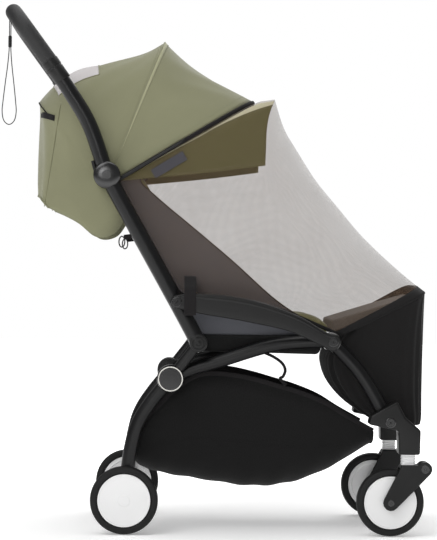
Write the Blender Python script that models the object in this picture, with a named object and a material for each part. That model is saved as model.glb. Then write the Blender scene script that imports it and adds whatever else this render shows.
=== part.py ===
"""A sheer mosquito net fitted on a plain compact stroller, with the net's black foot cover.

Metres, +Z up, +X is the way the stroller faces, and the right-hand side is at -Y.
The origin is on the floor, under the middle of the bounding box.
"""

import math
from collections import namedtuple

import bmesh
import bpy
import numpy as np
from mathutils import Vector

# Gaps and thin stock
SEAT_GAP = 0.0004
NET_THICKNESS = 0.0015
CLOTH_THICKNESS = 0.0018
SIDES = {"right": -1.0, "left": 1.0}

# Side frame: where its joints lie, as (x, z), and how far each row of tubes is from the middle plane
GRIP_TOP = (-0.4187, 1.0455)
GRIP_END = (-0.3312, 0.9276)
HOOD_HINGE = (-0.2243, 0.7163)
ARM_PIVOT = (-0.0819, 0.4650)
RECLINE_JOINT = (-0.0368, 0.3834)
HUB = (-0.0920, 0.3116)
SEAT_HINGE = (0.2298, 0.3892)
PUSH_Y = 0.190
PUSH_R = 0.0165
PUSH_ARM_R = 0.0155
CHASSIS_Y = 0.168
CHASSIS_R = 0.0135
LINK_Y = 0.194
LINK_R = 0.0110
GRIP_CORNER_R = 0.060
CROSSBAR_R = 0.009
REAR_BAR = ((-0.1783, 0.1020), 0.1552)

PUSH_ARM_KNOTS = [(-0.2990, 0.8800), (-0.2600, 0.8150)]
SEAT_RAIL_KNOTS = [(-0.0530, 0.3292), (0.0067, 0.3470), (0.1023, 0.3774), (0.1702, 0.3873)]
REAR_LEG_KNOTS = [
    (-0.1321, 0.2610),
    (-0.1566, 0.2200),
    (-0.1690, 0.1760),
    (-0.1760, 0.1250),
    (-0.1814, 0.0520),
]
FRONT_LEG_KNOTS = [(0.2565, 0.3635), (0.2830, 0.3350), (0.3074, 0.3010), (0.3330, 0.2560)]
GRIP_STEPS = 4
GRIP_CORNER_STEPS = 6

HOOD_HINGE_R = 0.027
HOOD_HINGE_Y = (0.1645, 0.2090)
HUB_R = 0.027
HUB_Y = (0.1535, 0.2068)
SEAT_HINGE_R = 0.0185
SEAT_HINGE_Y = (0.1545, 0.2086)
RECLINE_R = 0.0180
RECLINE_Y = (0.1700, 0.2066)

# Wheels and casters. An arc is given by its two end angles, in degrees.
WHEEL_R = 0.068
WHEEL_SEGMENTS = 32
DISC_R = 0.0525
DISC_INSET = 0.002
DISC_RIM_DROP = 0.001
DISC_HUB_DROP = 0.0002
TYRE_SHOULDER = (0.005, 0.006)
REAR_AXLE = (-0.1814, WHEEL_R)
FRONT_AXLE = (0.3526, WHEEL_R)
REAR_WHEEL_Y = (0.1812, 0.2084)
FRONT_WHEEL_Y = (0.1660, 0.1932)
FORK_Y = (0.1562, 0.2030)
FORK_SLOT_Y = (0.1652, 0.1938)
FORK_SLOT_R = 0.0715
FORK_TOP = (0.4205, 0.1367)
FORK_TOP_R = 0.0145
FORK_AXLE_R = 0.0155
FORK_AXLE_ARC = (150, 320)
FORK_TOP_ARC = (-40, 150)
STEM_Y = (0.1560, 0.2010)
STEM_BOTTOM = 0.1650
HOUSING_REACH = (0.026, 0.034)
HOUSING_UNDER = [(0.3060, 0.2250), (0.3660, 0.2130), (0.3670, STEM_BOTTOM), (0.4100, STEM_BOTTOM)]
HOUSING_OVER = [(0.4110, 0.2140), (0.3800, 0.2400)]
HOUSING_BEVEL = 0.004
BUFFER_X = (0.3735, 0.4020)
BUFFER_Y = (0.1640, 0.1930)
BUFFER_Z = (0.1444, 0.1646)

# Armrest blades
ARMREST_Y = (0.2090, 0.2190)
ARM_PIVOT_R = 0.0120
ARM_PIVOT_Y = (0.2069, 0.2086)
ARMREST_TOP = [(-0.0414, 0.4830), (0.0326, 0.4775), (0.0934, 0.4648), (0.1628, 0.4399), (0.2151, 0.4103)]
ARMREST_UNDER = [(0.2120, 0.3800), (0.1700, 0.3990), (0.1312, 0.4130), (0.0500, 0.4290), (-0.0388, 0.4430)]
ARMREST_REAR_R = 0.0145
ARMREST_REAR_ARC = (290, 80)
ARMREST_FRONT_R = 0.0185
ARMREST_FRONT_ARC = (50, -150)
ARMREST_BEVEL = 0.002

# The hood's front hoop, an arch in a plane that tilts up and forward from the hinges
HOOP_BASE = (-0.2004, 0.7103)
HOOP_TOP = (0.0725, 0.8780)
HOOP_R = 0.0038
HOOP_HALF = 0.1600
HOOP_POWER = 3.2

# Sheets that are lofted over arches. An arch starts at base, on the right side, runs straight up to side,
# goes over top in the middle plane, and comes down on the left. Lean bows its upper part forward or back.
Arch = namedtuple("Arch", "base_x base_z side_x side_z top_x top_z half power lean")

HOOD_ARCHES = [
    Arch(-0.2028, 0.7141, -0.2028, 0.7141, 0.0700, 0.8817, 0.1600, 3.2, 1.0),
    Arch(-0.2080, 0.7165, -0.2080, 0.7165, 0.0040, 0.9180, 0.1600, 3.2, 1.0),
    Arch(-0.2130, 0.7185, -0.2130, 0.7185, -0.0565, 0.9535, 0.1600, 3.2, 1.0),
    Arch(-0.2170, 0.7190, -0.2170, 0.7190, -0.1115, 1.0000, 0.1600, 3.2, 1.0),
    Arch(-0.2215, 0.7130, -0.2215, 0.7130, -0.1600, 0.9760, 0.1600, 3.2, 1.0),
    Arch(-0.2205, 0.7030, -0.2205, 0.7030, -0.2330, 0.9570, 0.1600, 3.2, 1.0),
    Arch(-0.2140, 0.6860, -0.2140, 0.6860, -0.2900, 0.9420, 0.1600, 3.2, 1.0),
    Arch(-0.2020, 0.6620, -0.2020, 0.6620, -0.3380, 0.9110, 0.1600, 3.2, 1.0),
    Arch(-0.1870, 0.6300, -0.1870, 0.6300, -0.3720, 0.8720, 0.1600, 3.2, 1.0),
    Arch(-0.2100, 0.5995, -0.2100, 0.5995, -0.3680, 0.8350, 0.1600, 3.4, 1.0),
    Arch(-0.2450, 0.5930, -0.2450, 0.5930, -0.3680, 0.7900, 0.1600, 3.6, 1.0),
    Arch(-0.2800, 0.6190, -0.2800, 0.6190, -0.3690, 0.7450, 0.1590, 3.8, 1.0),
    Arch(-0.3150, 0.6380, -0.3150, 0.6380, -0.3690, 0.7050, 0.1570, 4.0, 1.0),
    Arch(-0.3420, 0.6500, -0.3420, 0.6500, -0.3670, 0.6780, 0.1530, 4.0, 1.0),
]
HOOD_SEGMENTS = 20

NET_ARCHES = [
    Arch(-0.2051, 0.7025, -0.2051, 0.7025, 0.0764, 0.8754, 0.1612, 3.2, 1.0),
    Arch(-0.1970, 0.6550, -0.1000, 0.7350, 0.0860, 0.8790, 0.1615, 3.2, 1.0),
    Arch(-0.1600, 0.6000, -0.0100, 0.7500, 0.0980, 0.8800, 0.1615, 3.5, 1.4),
    Arch(-0.1430, 0.5720, 0.0450, 0.7600, 0.1070, 0.8805, 0.1615, 3.6, 2.0),
    Arch(-0.1260, 0.5450, 0.0945, 0.7715, 0.1140, 0.8805, 0.1615, 3.8, 3.0),
    Arch(-0.1000, 0.5000, 0.1100, 0.7250, 0.1346, 0.8248, 0.1615, 3.4, 2.0),
    Arch(-0.0600, 0.4700, 0.1300, 0.6850, 0.1624, 0.7798, 0.1615, 3.2, 1.5),
    Arch(0.0120, 0.4680, 0.1600, 0.6300, 0.2041, 0.7175, 0.1615, 3.2, 1.2),
    Arch(0.0698, 0.4620, 0.2000, 0.5850, 0.2502, 0.6633, 0.1615, 3.2, 1.0),
    Arch(0.1278, 0.4470, 0.2350, 0.5400, 0.2964, 0.6094, 0.1600, 3.2, 1.0),
    Arch(0.1668, 0.4330, 0.2700, 0.5000, 0.3424, 0.5648, 0.1575, 3.5, 1.0),
    Arch(0.2100, 0.4150, 0.3050, 0.4700, 0.3881, 0.5245, 0.1532, 4.2, 1.0),
    Arch(0.2500, 0.3987, 0.3404, 0.4448, 0.4294, 0.4915, 0.1505, 5.0, 1.0),
]
NET_SEGMENTS = 40

# The visor lies this far inside the net's first arches; its lower edge is given as (x, z) for each of them
VISOR_INSET = 0.0044
VISOR_EDGE = [(-0.1998, 0.7070), (-0.1300, 0.7140), (-0.0300, 0.7250), (0.0350, 0.7335), (0.0936, 0.7420)]
VISOR_SEGMENTS = 24

# Foot cover, an open-topped pouch of rounded-rectangle rings from the seam down
Ring = namedtuple("Ring", "back_x back_z front_x front_z half")
FOOT_RINGS = [
    Ring(0.2515, 0.3985, 0.4294, 0.4895, 0.1505),
    Ring(0.2360, 0.3800, 0.4288, 0.4600, 0.1495),
    Ring(0.2225, 0.3480, 0.4283, 0.4150, 0.1480),
    Ring(0.2330, 0.3080, 0.4276, 0.3450, 0.1455),
    Ring(0.2640, 0.2680, 0.4270, 0.2800, 0.1430),
    Ring(0.3060, 0.2360, 0.4266, 0.2360, 0.1400),
    Ring(0.3300, 0.2255, 0.4235, 0.2200, 0.1370),
]
FOOT_SEGMENTS = 28
FOOT_SQUARENESS = 5.0
FOOT_FOLD_DEPTH = 0.0022
FOOT_FOLDS = 5
FOOT_FOLD_TURN = 0.6
FOOT_BOTTOM_SHARES = (0.93, 0.55)
FOOT_BOTTOM_SAG = 0.0035
FOOT_BOTTOM_DROP = 0.0025

# Basket, a boat-shaped sling that is open at the top
Rib = namedtuple("Rib", "x top_z bottom_z half")
BASKET_RIBS = [
    Rib(-0.1640, 0.1600, 0.1380, 0.1400),
    Rib(-0.1520, 0.2000, 0.1240, 0.1480),
    Rib(-0.1250, 0.2420, 0.1130, 0.1529),
    Rib(-0.0800, 0.2890, 0.1020, 0.1529),
    Rib(-0.0300, 0.3180, 0.0930, 0.1520),
    Rib(0.0300, 0.3180, 0.0850, 0.1500),
    Rib(0.0830, 0.3080, 0.0825, 0.1480),
    Rib(0.1300, 0.2950, 0.0850, 0.1470),
    Rib(0.1750, 0.2820, 0.0930, 0.1460),
    Rib(0.2250, 0.2620, 0.1140, 0.1460),
    Rib(0.2700, 0.2350, 0.1420, 0.1460),
    Rib(0.3200, 0.2080, 0.1780, 0.1440),
]
BASKET_SEGMENTS = 14
BASKET_POWER = 3.4

# Seat
SEAT_BASE_OUTLINE = [
    (-0.0450, 0.3660),
    (0.2050, 0.3620),
    (0.2120, 0.3720),
    (0.2120, 0.3990),
    (-0.0450, 0.3990),
]
SEAT_BASE_HALF = 0.1540
SEAT_PAD_OUTLINE = [
    (-0.0300, 0.3996),
    (0.2300, 0.3996),
    (0.2360, 0.4080),
    (0.2340, 0.4180),
    (0.2210, 0.4290),
    (0.1900, 0.4390),
    (0.1500, 0.4440),
    (0.0900, 0.4400),
    (-0.0300, 0.4300),
]
PAD_HALF = 0.1470
BACK_PAD_FOOT = (-0.0300, 0.4304)
BACK_PAD_LENGTH = 0.330
BACK_PAD_THICKNESS = 0.026
LEG_REST_TOP = [(0.2364, 0.4315), (0.3300, 0.4610), (0.4080, 0.4840), (0.4150, 0.4815)]
LEG_REST_THICKNESS = 0.024
LEG_REST_HALF = 0.1240
SIDE_PANEL_Y = (0.1474, 0.1492)
SIDE_PANEL_OUTLINE = [
    (-0.0300, 0.4000),
    (0.2000, 0.4000),
    (0.2050, 0.4180),
    (0.1519, 0.4480),
    (0.1051, 0.4818),
    (0.0348, 0.5444),
    (-0.0354, 0.6025),
    (-0.1058, 0.6594),
    (-0.1490, 0.6965),
    (-0.1570, 0.7050),
    (-0.1570, 0.7130),
    (-0.1440, 0.7270),
    (-0.1500, 0.7360),
    (-0.1780, 0.7240),
    (-0.2080, 0.7020),
    (-0.2060, 0.6900),
    (-0.0700, 0.4600),
]

# The net's fastening straps, as sections across the armrest
STRAP_X = (-0.0670, -0.0430)
STRAP_THICKNESS = 0.0014
STRAP_Z = (0.4412, 0.4840)
STRAP_TAIL = (0.1630, 0.5160)
STRAP_BEND = 0.012
STRAP_SHOULDER = 0.010
STRAP_LIP = 0.004

# The net's bare label, a rectangle on the right side of the net that slopes as the hoop does
LABEL_MIDDLE = (-0.1007, 0.7405)
LABEL_LENGTH = 0.0745
LABEL_WIDTH = 0.0200
LABEL_STEPS = 5
LABEL_THICKNESS = 0.0010

# Wrist cord: two strands that hang from the grip and open into a loop
Strand = namedtuple("Strand", "z half_gap")
CORD_R = 0.0010
CORD_PLACE = (-0.4259, -0.1250)
CORD_STRANDS = [
    Strand(1.0297, 0.0014),
    Strand(0.9920, 0.0014),
    Strand(0.9700, 0.0018),
    Strand(0.9400, 0.0042),
    Strand(0.9000, 0.0090),
    Strand(0.8650, 0.0128),
    Strand(0.8450, 0.0142),
    Strand(0.8270, 0.0105),
]
CORD_LOWEST = 0.8190
CORD_STEPS = 4


def clear_scene():
    for obj in list(bpy.data.objects):
        bpy.data.objects.remove(obj)


def make_material(name, colour, roughness, metallic=0.0):
    material = bpy.data.materials.new(name)
    material.use_nodes = True
    shader = material.node_tree.nodes["Principled BSDF"]
    shader.inputs["Base Color"].default_value = (*colour, 1.0)
    shader.inputs["Roughness"].default_value = roughness
    shader.inputs["Metallic"].default_value = metallic
    return material


def make_materials():
    return {
        "net": make_material("net_mesh", (0.46, 0.42, 0.39), 0.85),
        "foot": make_material("foot_cloth", (0.012, 0.012, 0.012), 0.80),
        "strap": make_material("strap_webbing", (0.020, 0.020, 0.020), 0.85),
        "label": make_material("label_weave", (0.085, 0.080, 0.085), 0.80),
        "frame": make_material("frame_coat", (0.014, 0.014, 0.015), 0.42, 0.35),
        "grip": make_material("grip_skin", (0.012, 0.012, 0.012), 0.55),
        "plastic": make_material("black_plastic", (0.016, 0.016, 0.017), 0.45),
        "hood": make_material("hood_cloth", (0.210, 0.215, 0.125), 0.85),
        "visor": make_material("visor_cloth", (0.060, 0.062, 0.028), 0.85),
        "panel": make_material("seat_side_cloth", (0.022, 0.022, 0.024), 0.85),
        "sling": make_material("basket_cloth", (0.010, 0.010, 0.010), 0.80),
        "pad": make_material("seat_pad_cloth", (0.140, 0.145, 0.070), 0.85),
        "tyre": make_material("tyre_foam", (0.016, 0.016, 0.016), 0.70),
        "disc": make_material("wheel_disc", (0.820, 0.820, 0.820), 0.40),
    }


def add_mesh(name, points, faces, material, smooth=True):
    """Makes a mesh object whose faces point outwards."""
    mesh = bpy.data.meshes.new(name)
    mesh.from_pydata([tuple(p) for p in points], [], faces)
    mesh.validate()
    if smooth:
        mesh.shade_smooth()
        mesh.set_sharp_from_angle(angle=math.radians(40))
    mesh.materials.append(material)
    obj = bpy.data.objects.new(name, mesh)
    bpy.context.scene.collection.objects.link(obj)
    return obj


def turn_faces_out(obj):
    shape = bmesh.new()
    shape.from_mesh(obj.data)
    bmesh.ops.recalc_face_normals(shape, faces=shape.faces)
    shape.to_mesh(obj.data)
    shape.free()
    return obj


def catmull_rom(a, b, c, d, t):
    """The smooth curve through b, at t = 0, and c, at t = 1, with a and d as the knots on either side."""
    linear = c - a
    square = 2 * a - 5 * b + 4 * c - d
    cube = 3 * b - a - 3 * c + d
    return (2 * b + linear * t + square * t**2 + cube * t**3) / 2


def smooth_path(points, steps):
    """A smooth curve through the points, with the given number of steps in each span."""
    knots = [Vector(p) for p in points]
    knots = [knots[0] * 2 - knots[1], *knots, knots[-1] * 2 - knots[-2]]
    path = []
    for a, b, c, d in zip(knots, knots[1:], knots[2:], knots[3:]):
        path += [catmull_rom(a, b, c, d, step / steps) for step in range(steps)]
    path.append(knots[-2])
    return path


def side_path(points, y, steps):
    """A smooth path in the upright plane at y, through points given as (x, z)."""
    return smooth_path([(x, y, z) for x, z in points], steps)


def swept_tube(name, path, radius, material, plane_normal=(0, 1, 0), sides=10):
    """A round tube along a path that lies in a plane."""
    normal = Vector(plane_normal).normalized()
    points = []
    for i, centre in enumerate(path):
        ahead = path[min(i + 1, len(path) - 1)] - path[max(i - 1, 0)]
        across = normal.cross(ahead.normalized()).normalized()
        for k in range(sides):
            turn = math.tau * (k + 0.5) / sides
            points.append(centre + radius * (math.cos(turn) * normal + math.sin(turn) * across))
    faces = [tuple(range(sides)), tuple(range((len(path) - 1) * sides, len(path) * sides))]
    for i in range(len(path) - 1):
        for k in range(sides):
            n = (k + 1) % sides
            faces.append((i * sides + k, i * sides + n, (i + 1) * sides + n, (i + 1) * sides + k))
    return turn_faces_out(add_mesh(name, points, faces, material))


def prism(name, points, material):
    """A prism from the points of its two ends, the first half of the list and the second."""
    count = len(points) // 2
    faces = [tuple(range(count)), tuple(range(count, 2 * count))]
    faces += [(k, (k + 1) % count, (k + 1) % count + count, k + count) for k in range(count)]
    return turn_faces_out(add_mesh(name, points, faces, material))


def plate(name, outline, y_range, side, material, bevel=0.0):
    """An upright plate: an outline of (x, z) points, extruded from y_range[0] to y_range[1] on one side."""
    obj = prism(name, [(x, side * y, z) for y in y_range for x, z in outline], material)
    if bevel:
        rounding = obj.modifiers.new("Rounded edges", "BEVEL")
        rounding.width = bevel
        rounding.segments = 2
        rounding.limit_method = "ANGLE"
        rounding.angle_limit = math.radians(50)
    return obj


def turned(name, centre, profile, side, material, segments=WHEEL_SEGMENTS):
    """A turned piece about a crosswise axis.

    The profile is (radius, y), and closes on itself or on the axis. A facet, and not a corner, is lowest.
    """
    x0, z0 = centre
    points = []
    rows = []
    for radius, y in profile:
        if radius == 0:
            rows.append([len(points)] * segments)
            points.append((x0, side * y, z0))
            continue
        rows.append(list(range(len(points), len(points) + segments)))
        flat_radius = radius / math.cos(math.pi / segments)
        for k in range(segments):
            turn = math.tau * (k + 0.5) / segments - math.pi / 2
            points.append((x0 + flat_radius * math.cos(turn), side * y, z0 + flat_radius * math.sin(turn)))
    closed = profile[0][0] > 0
    faces = []
    for i in range(len(rows) - (0 if closed else 1)):
        one, two = rows[i], rows[(i + 1) % len(rows)]
        for k in range(segments):
            n = (k + 1) % segments
            corners = [one[k], one[n], two[n], two[k]]
            faces.append(tuple(dict.fromkeys(corners)))
    return turn_faces_out(add_mesh(name, points, faces, material))


def drum(name, centre, radius, y_range, side, material, segments=20, edge=0.0015):
    """A short cylinder with a small chamfer, lying crosswise."""
    inner, outer = y_range
    profile = [(0, inner), (radius - edge, inner), (radius, inner + edge), (radius, outer - edge)]
    profile += [(radius - edge, outer), (0, outer)]
    return turned(name, centre, profile, side, material, segments)


def trim(obj, centre, radius, side, y_range=(0.12, 0.24), segments=20):
    """Cuts a round seat in obj for a drum of that radius."""
    inner, outer = y_range
    profile = [(0, inner), (radius + SEAT_GAP, inner), (radius + SEAT_GAP, outer), (0, outer)]
    name = f"cut_{obj.name}_{len(obj.modifiers)}"
    cutter = turned(name, centre, profile, side, obj.data.materials[0], segments)
    cutter.hide_render = True
    cutter.display_type = "WIRE"
    seat = obj.modifiers.new("Round seat", "BOOLEAN")
    seat.operation = "DIFFERENCE"
    seat.object = cutter
    return obj


def arch_half(arch, steps):
    """The right-hand upper part of an arch, a quarter superellipse: across^power + rise^power = 1."""
    turn = np.linspace(0, math.pi / 2, steps + 1)
    rise = np.sin(turn) ** (2 / arch.power)
    across = np.cos(turn) ** (2 / arch.power)
    x = arch.side_x + (arch.top_x - arch.side_x) * rise**arch.lean
    z = arch.side_z + (arch.top_z - arch.side_z) * rise
    return np.column_stack([x, -arch.half * across, z])


def both_halves(right):
    """The whole arch, from the right-hand base over the top to the left-hand base."""
    return [Vector(p) for p in np.vstack([right, right[-2::-1] * (1, -1, 1)])]


def arch_line(arch, segments):
    """An arch with its points evenly spaced from base to base."""
    half = np.vstack([[arch.base_x, -arch.half, arch.base_z], arch_half(arch, 80)])
    run = np.concatenate([[0.0], np.cumsum(np.linalg.norm(np.diff(half, axis=0), axis=1))])
    stops = np.linspace(0, run[-1], segments // 2 + 1)
    return both_halves(np.column_stack([np.interp(stops, run, half[:, k]) for k in range(3)]))


def between(arches, place):
    """The arch at a place along the table, on a smooth curve through its rows."""
    i = min(int(place), len(arches) - 2)
    t = place - i
    rows = [arches[min(max(k, 0), len(arches) - 1)] for k in (i - 1, i, i + 1, i + 2)]
    return Arch(*(catmull_rom(a, b, c, d, t) for a, b, c, d in zip(*rows)))


def add_sheet(name, rows, material, thickness, closed_rows=False):
    """A sheet through rows of points, thickened away from its outer face."""
    width = len(rows[0])
    points = [p for row in rows for p in row]
    faces = []
    for i in range(len(rows) - 1):
        for k in range(width - (0 if closed_rows else 1)):
            n = (k + 1) % width
            faces.append((i * width + k, i * width + n, (i + 1) * width + n, (i + 1) * width + k))
    obj = add_mesh(name, points, faces, material)
    solid = obj.modifiers.new("Cloth thickness", "SOLIDIFY")
    solid.thickness = thickness
    solid.offset = -1.0
    return obj


def arched_sheet(name, arches, segments, material, thickness):
    """A sheet lofted over a table of arches."""
    rows = [arch_line(arch, segments)[::-1] for arch in arches]
    return add_sheet(name, rows, material, thickness)


def build_net(materials):
    """The sheer panel from the hood's hoop to the seam of the foot cover."""
    arched_sheet("net_panel", NET_ARCHES, NET_SEGMENTS, materials["net"], NET_THICKNESS)


def foot_ring(ring, depth):
    """One ring of the foot cover, with a few soft folds that deepen downwards."""
    mid_x = (ring.back_x + ring.front_x) / 2
    reach = (ring.front_x - ring.back_x) / 2
    points = []
    for k in range(FOOT_SEGMENTS):
        turn = math.tau * k / FOOT_SEGMENTS
        cos, sin = math.cos(turn), math.sin(turn)
        x = math.copysign(abs(cos) ** (2 / FOOT_SQUARENESS), cos)
        y = math.copysign(abs(sin) ** (2 / FOOT_SQUARENESS), sin)
        pull = FOOT_FOLD_DEPTH * depth * (1 + math.sin(FOOT_FOLDS * turn + FOOT_FOLD_TURN)) / 2
        z = ring.back_z + (ring.front_z - ring.back_z) * (x + 1) / 2
        points.append(Vector((mid_x + x * reach, y * (ring.half - pull), z)))
    return points


def build_foot_cover(materials):
    """The black pouch below the net: rings down to a rounded, closed bottom."""
    rows = [foot_ring(ring, i / (len(FOOT_RINGS) - 1)) for i, ring in enumerate(FOOT_RINGS)]
    last = FOOT_RINGS[-1]
    low = (last.back_z + last.front_z) / 2 - FOOT_BOTTOM_SAG
    centre = Vector(((last.back_x + last.front_x) / 2, 0, low))
    for share in FOOT_BOTTOM_SHARES:
        rows.append([centre + (p - centre) * share for p in rows[-1]])
    for p in rows[-2] + rows[-1]:
        p.z = min(p.z, last.front_z - FOOT_BOTTOM_DROP)
    width = FOOT_SEGMENTS
    obj = add_sheet("foot_cover", rows[::-1], materials["foot"], CLOTH_THICKNESS, closed_rows=True)
    shape = bmesh.new()
    shape.from_mesh(obj.data)
    shape.verts.ensure_lookup_table()
    shape.faces.new([shape.verts[k] for k in reversed(range(width))])
    bmesh.ops.recalc_face_normals(shape, faces=shape.faces)
    shape.to_mesh(obj.data)
    shape.free()
    return obj


def build_straps(materials):
    """A webbing strap on each side, from the net out and once round the armrest."""
    low, high = STRAP_Z
    inner = ARMREST_Y[0] - SEAT_GAP
    outer = ARMREST_Y[1] + SEAT_GAP
    tail_y, tail_z = STRAP_TAIL
    t = STRAP_THICKNESS
    bend_y = tail_y + STRAP_BEND
    outline = [
        (tail_y, tail_z),
        (bend_y, tail_z),
        (outer + t - STRAP_LIP, high + t + STRAP_SHOULDER),
        (outer + t, high + t),
        (outer + t, low - t),
        (inner - t, low - t),
        (inner - t, high - STRAP_LIP),
        (inner, high - STRAP_LIP),
        (inner, low),
        (outer, low),
        (outer, high),
        (outer - STRAP_LIP, high - t + STRAP_SHOULDER),
        (bend_y - t / 2, tail_z - t),
        (tail_y, tail_z - t),
    ]
    for tag, side in SIDES.items():
        points = [(x, side * y, z) for x in STRAP_X for y, z in outline]
        prism(f"strap_{tag}", points, materials["strap"])


def build_label(materials):
    """The small bare label that lies on the right side of the net, along the hoop."""
    net = [p for place in np.linspace(0, 3, 61) for p in arch_line(between(NET_ARCHES, place), 200)[:80]]
    net = np.array(net)
    slope = np.array(HOOP_TOP) - HOOP_BASE
    along = slope / np.linalg.norm(slope)
    down = np.array((along[1], -along[0]))
    rows = []
    for drop in (-LABEL_WIDTH / 2, LABEL_WIDTH / 2):
        row = []
        for run in np.linspace(-LABEL_LENGTH / 2, LABEL_LENGTH / 2, LABEL_STEPS + 1):
            x, z = LABEL_MIDDLE + along * run + down * drop
            nearest = net[np.argmin((net[:, 0] - x) ** 2 + (net[:, 2] - z) ** 2)]
            row.append(Vector((x, nearest[1] - SEAT_GAP - LABEL_THICKNESS, z)))
        rows.append(row[::-1])
    add_sheet("label", rows, materials["label"], LABEL_THICKNESS)


def build_wrist_cord(materials):
    """The cord loop under the grip, as a bevelled curve with filled ends."""
    x0, y0 = CORD_PLACE
    down = [(x0 - strand.half_gap, y0, strand.z) for strand in CORD_STRANDS]
    up = [(x0 + strand.half_gap, y0, strand.z) for strand in reversed(CORD_STRANDS)]
    path = smooth_path([*down, (x0, y0, CORD_LOWEST), *up], CORD_STEPS)
    curve = bpy.data.curves.new("wrist_cord", "CURVE")
    curve.dimensions = "3D"
    curve.bevel_depth = CORD_R
    curve.bevel_resolution = 2
    curve.use_fill_caps = True
    spline = curve.splines.new("POLY")
    spline.points.add(len(path) - 1)
    for point, place in zip(spline.points, path):
        point.co = (*place, 1.0)
    curve.materials.append(materials["strap"])
    bpy.context.scene.collection.objects.link(bpy.data.objects.new("wrist_cord", curve))


def build_visor(materials):
    """The flap that reaches forward from the hoop, close under the net."""
    arches = []
    for arch, (x, z) in zip(NET_ARCHES, VISOR_EDGE):
        inset = arch._replace(half=arch.half - VISOR_INSET, top_z=arch.top_z - VISOR_INSET)
        arches.append(inset._replace(base_x=x, base_z=z, top_x=arch.top_x - VISOR_INSET / 2))
    arches[0] = arches[0]._replace(side_x=VISOR_EDGE[0][0], side_z=VISOR_EDGE[0][1])
    arched_sheet("visor", arches, VISOR_SEGMENTS, materials["visor"], CLOTH_THICKNESS)


def build_hood(materials):
    """Hood cloth, its front hoop and the visor under the net."""
    rows = [both_halves(arch_half(arch, HOOD_SEGMENTS // 2)) for arch in HOOD_ARCHES]
    add_sheet("hood", rows, materials["hood"], CLOTH_THICKNESS)
    build_visor(materials)
    path = arch_line(Arch(*HOOP_BASE, *HOOP_BASE, *HOOP_TOP, HOOP_HALF, HOOP_POWER, 1.0), 30)
    rise = Vector((HOOP_TOP[0] - HOOP_BASE[0], 0, HOOP_TOP[1] - HOOP_BASE[1]))
    swept_tube("hood_hoop", path, HOOP_R, materials["plastic"], rise.cross(Vector((0, 1, 0))), sides=6)


def build_push_bar(materials):
    """The U-shaped grip and the two arms down to the hood hinges."""
    foot = Vector((GRIP_END[0], 0, GRIP_END[1]))
    rise = Vector((GRIP_TOP[0], 0, GRIP_TOP[1])) - foot
    up = rise.normalized()
    reach = rise.length
    corner = GRIP_CORNER_R
    half = []
    for k in range(GRIP_STEPS):
        half.append((PUSH_Y, (reach - corner) * k / GRIP_STEPS))
    for k in range(GRIP_CORNER_STEPS + 1):
        turn = math.pi / 2 * k / GRIP_CORNER_STEPS
        half.append((PUSH_Y - corner + corner * math.cos(turn), reach - corner + corner * math.sin(turn)))
    path = [foot + up * s + Vector((0, -y, 0)) for y, s in half]
    path += [foot + up * s + Vector((0, y, 0)) for y, s in reversed(half)]
    swept_tube("push_grip", path, PUSH_R, materials["grip"], up.cross(Vector((0, 1, 0))), sides=12)
    start = foot - up * SEAT_GAP * 1.75
    for tag, side in SIDES.items():
        knots = [(start.x, start.z), *PUSH_ARM_KNOTS, HOOD_HINGE]
        path = side_path(knots, side * PUSH_Y, 3)
        arm = swept_tube(f"push_arm_{tag}", path, PUSH_ARM_R, materials["frame"])
        trim(arm, HOOD_HINGE, HOOD_HINGE_R, side)


def build_side_frame(materials):
    """Hinges, tubes, hubs and armrests of both sides."""
    frame, plastic = materials["frame"], materials["plastic"]
    for tag, side in SIDES.items():
        y = side * CHASSIS_Y
        drum(f"hood_hinge_{tag}", HOOD_HINGE, HOOD_HINGE_R, HOOD_HINGE_Y, side, plastic)
        drum(f"hub_{tag}", HUB, HUB_R, HUB_Y, side, plastic)
        drum(f"seat_hinge_{tag}", SEAT_HINGE, SEAT_HINGE_R, SEAT_HINGE_Y, side, plastic)
        drum(f"recline_joint_{tag}", RECLINE_JOINT, RECLINE_R, RECLINE_Y, side, plastic)
        drum(f"arm_pivot_{tag}", ARM_PIVOT, ARM_PIVOT_R, ARM_PIVOT_Y, side, plastic, edge=0.0004)

        back_path = side_path([HOOD_HINGE, ARM_PIVOT, RECLINE_JOINT], side * PUSH_Y, 3)
        back = swept_tube(f"back_tube_{tag}", back_path, PUSH_R, frame)
        trim(back, HOOD_HINGE, HOOD_HINGE_R, side)
        trim(back, RECLINE_JOINT, RECLINE_R, side)

        link = swept_tube(f"link_{tag}", side_path([RECLINE_JOINT, HUB], side * LINK_Y, 2), LINK_R, frame)
        trim(link, RECLINE_JOINT, RECLINE_R, side)
        trim(link, HUB, HUB_R, side)

        rail_path = side_path([HUB, *SEAT_RAIL_KNOTS, SEAT_HINGE], y, 2)
        rail = swept_tube(f"seat_rail_{tag}", rail_path, CHASSIS_R, frame)
        trim(rail, HUB, HUB_R, side)
        trim(rail, SEAT_HINGE, SEAT_HINGE_R, side)

        leg = swept_tube(f"rear_leg_{tag}", side_path([HUB, *REAR_LEG_KNOTS], y, 2), CHASSIS_R, frame)
        trim(leg, HUB, HUB_R, side)

        build_armrest(tag, side, plastic)
        build_front_leg(tag, side, materials)


def round_end(centre, radius, arc, steps=6):
    """Points on an arc about centre, from one angle to the other, in the (x, z) plane."""
    start_deg, end_deg = arc
    points = []
    for k in range(steps + 1):
        turn = math.radians(start_deg + (end_deg - start_deg) * k / steps)
        points.append((centre[0] + radius * math.cos(turn), centre[1] + radius * math.sin(turn)))
    return points


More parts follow.
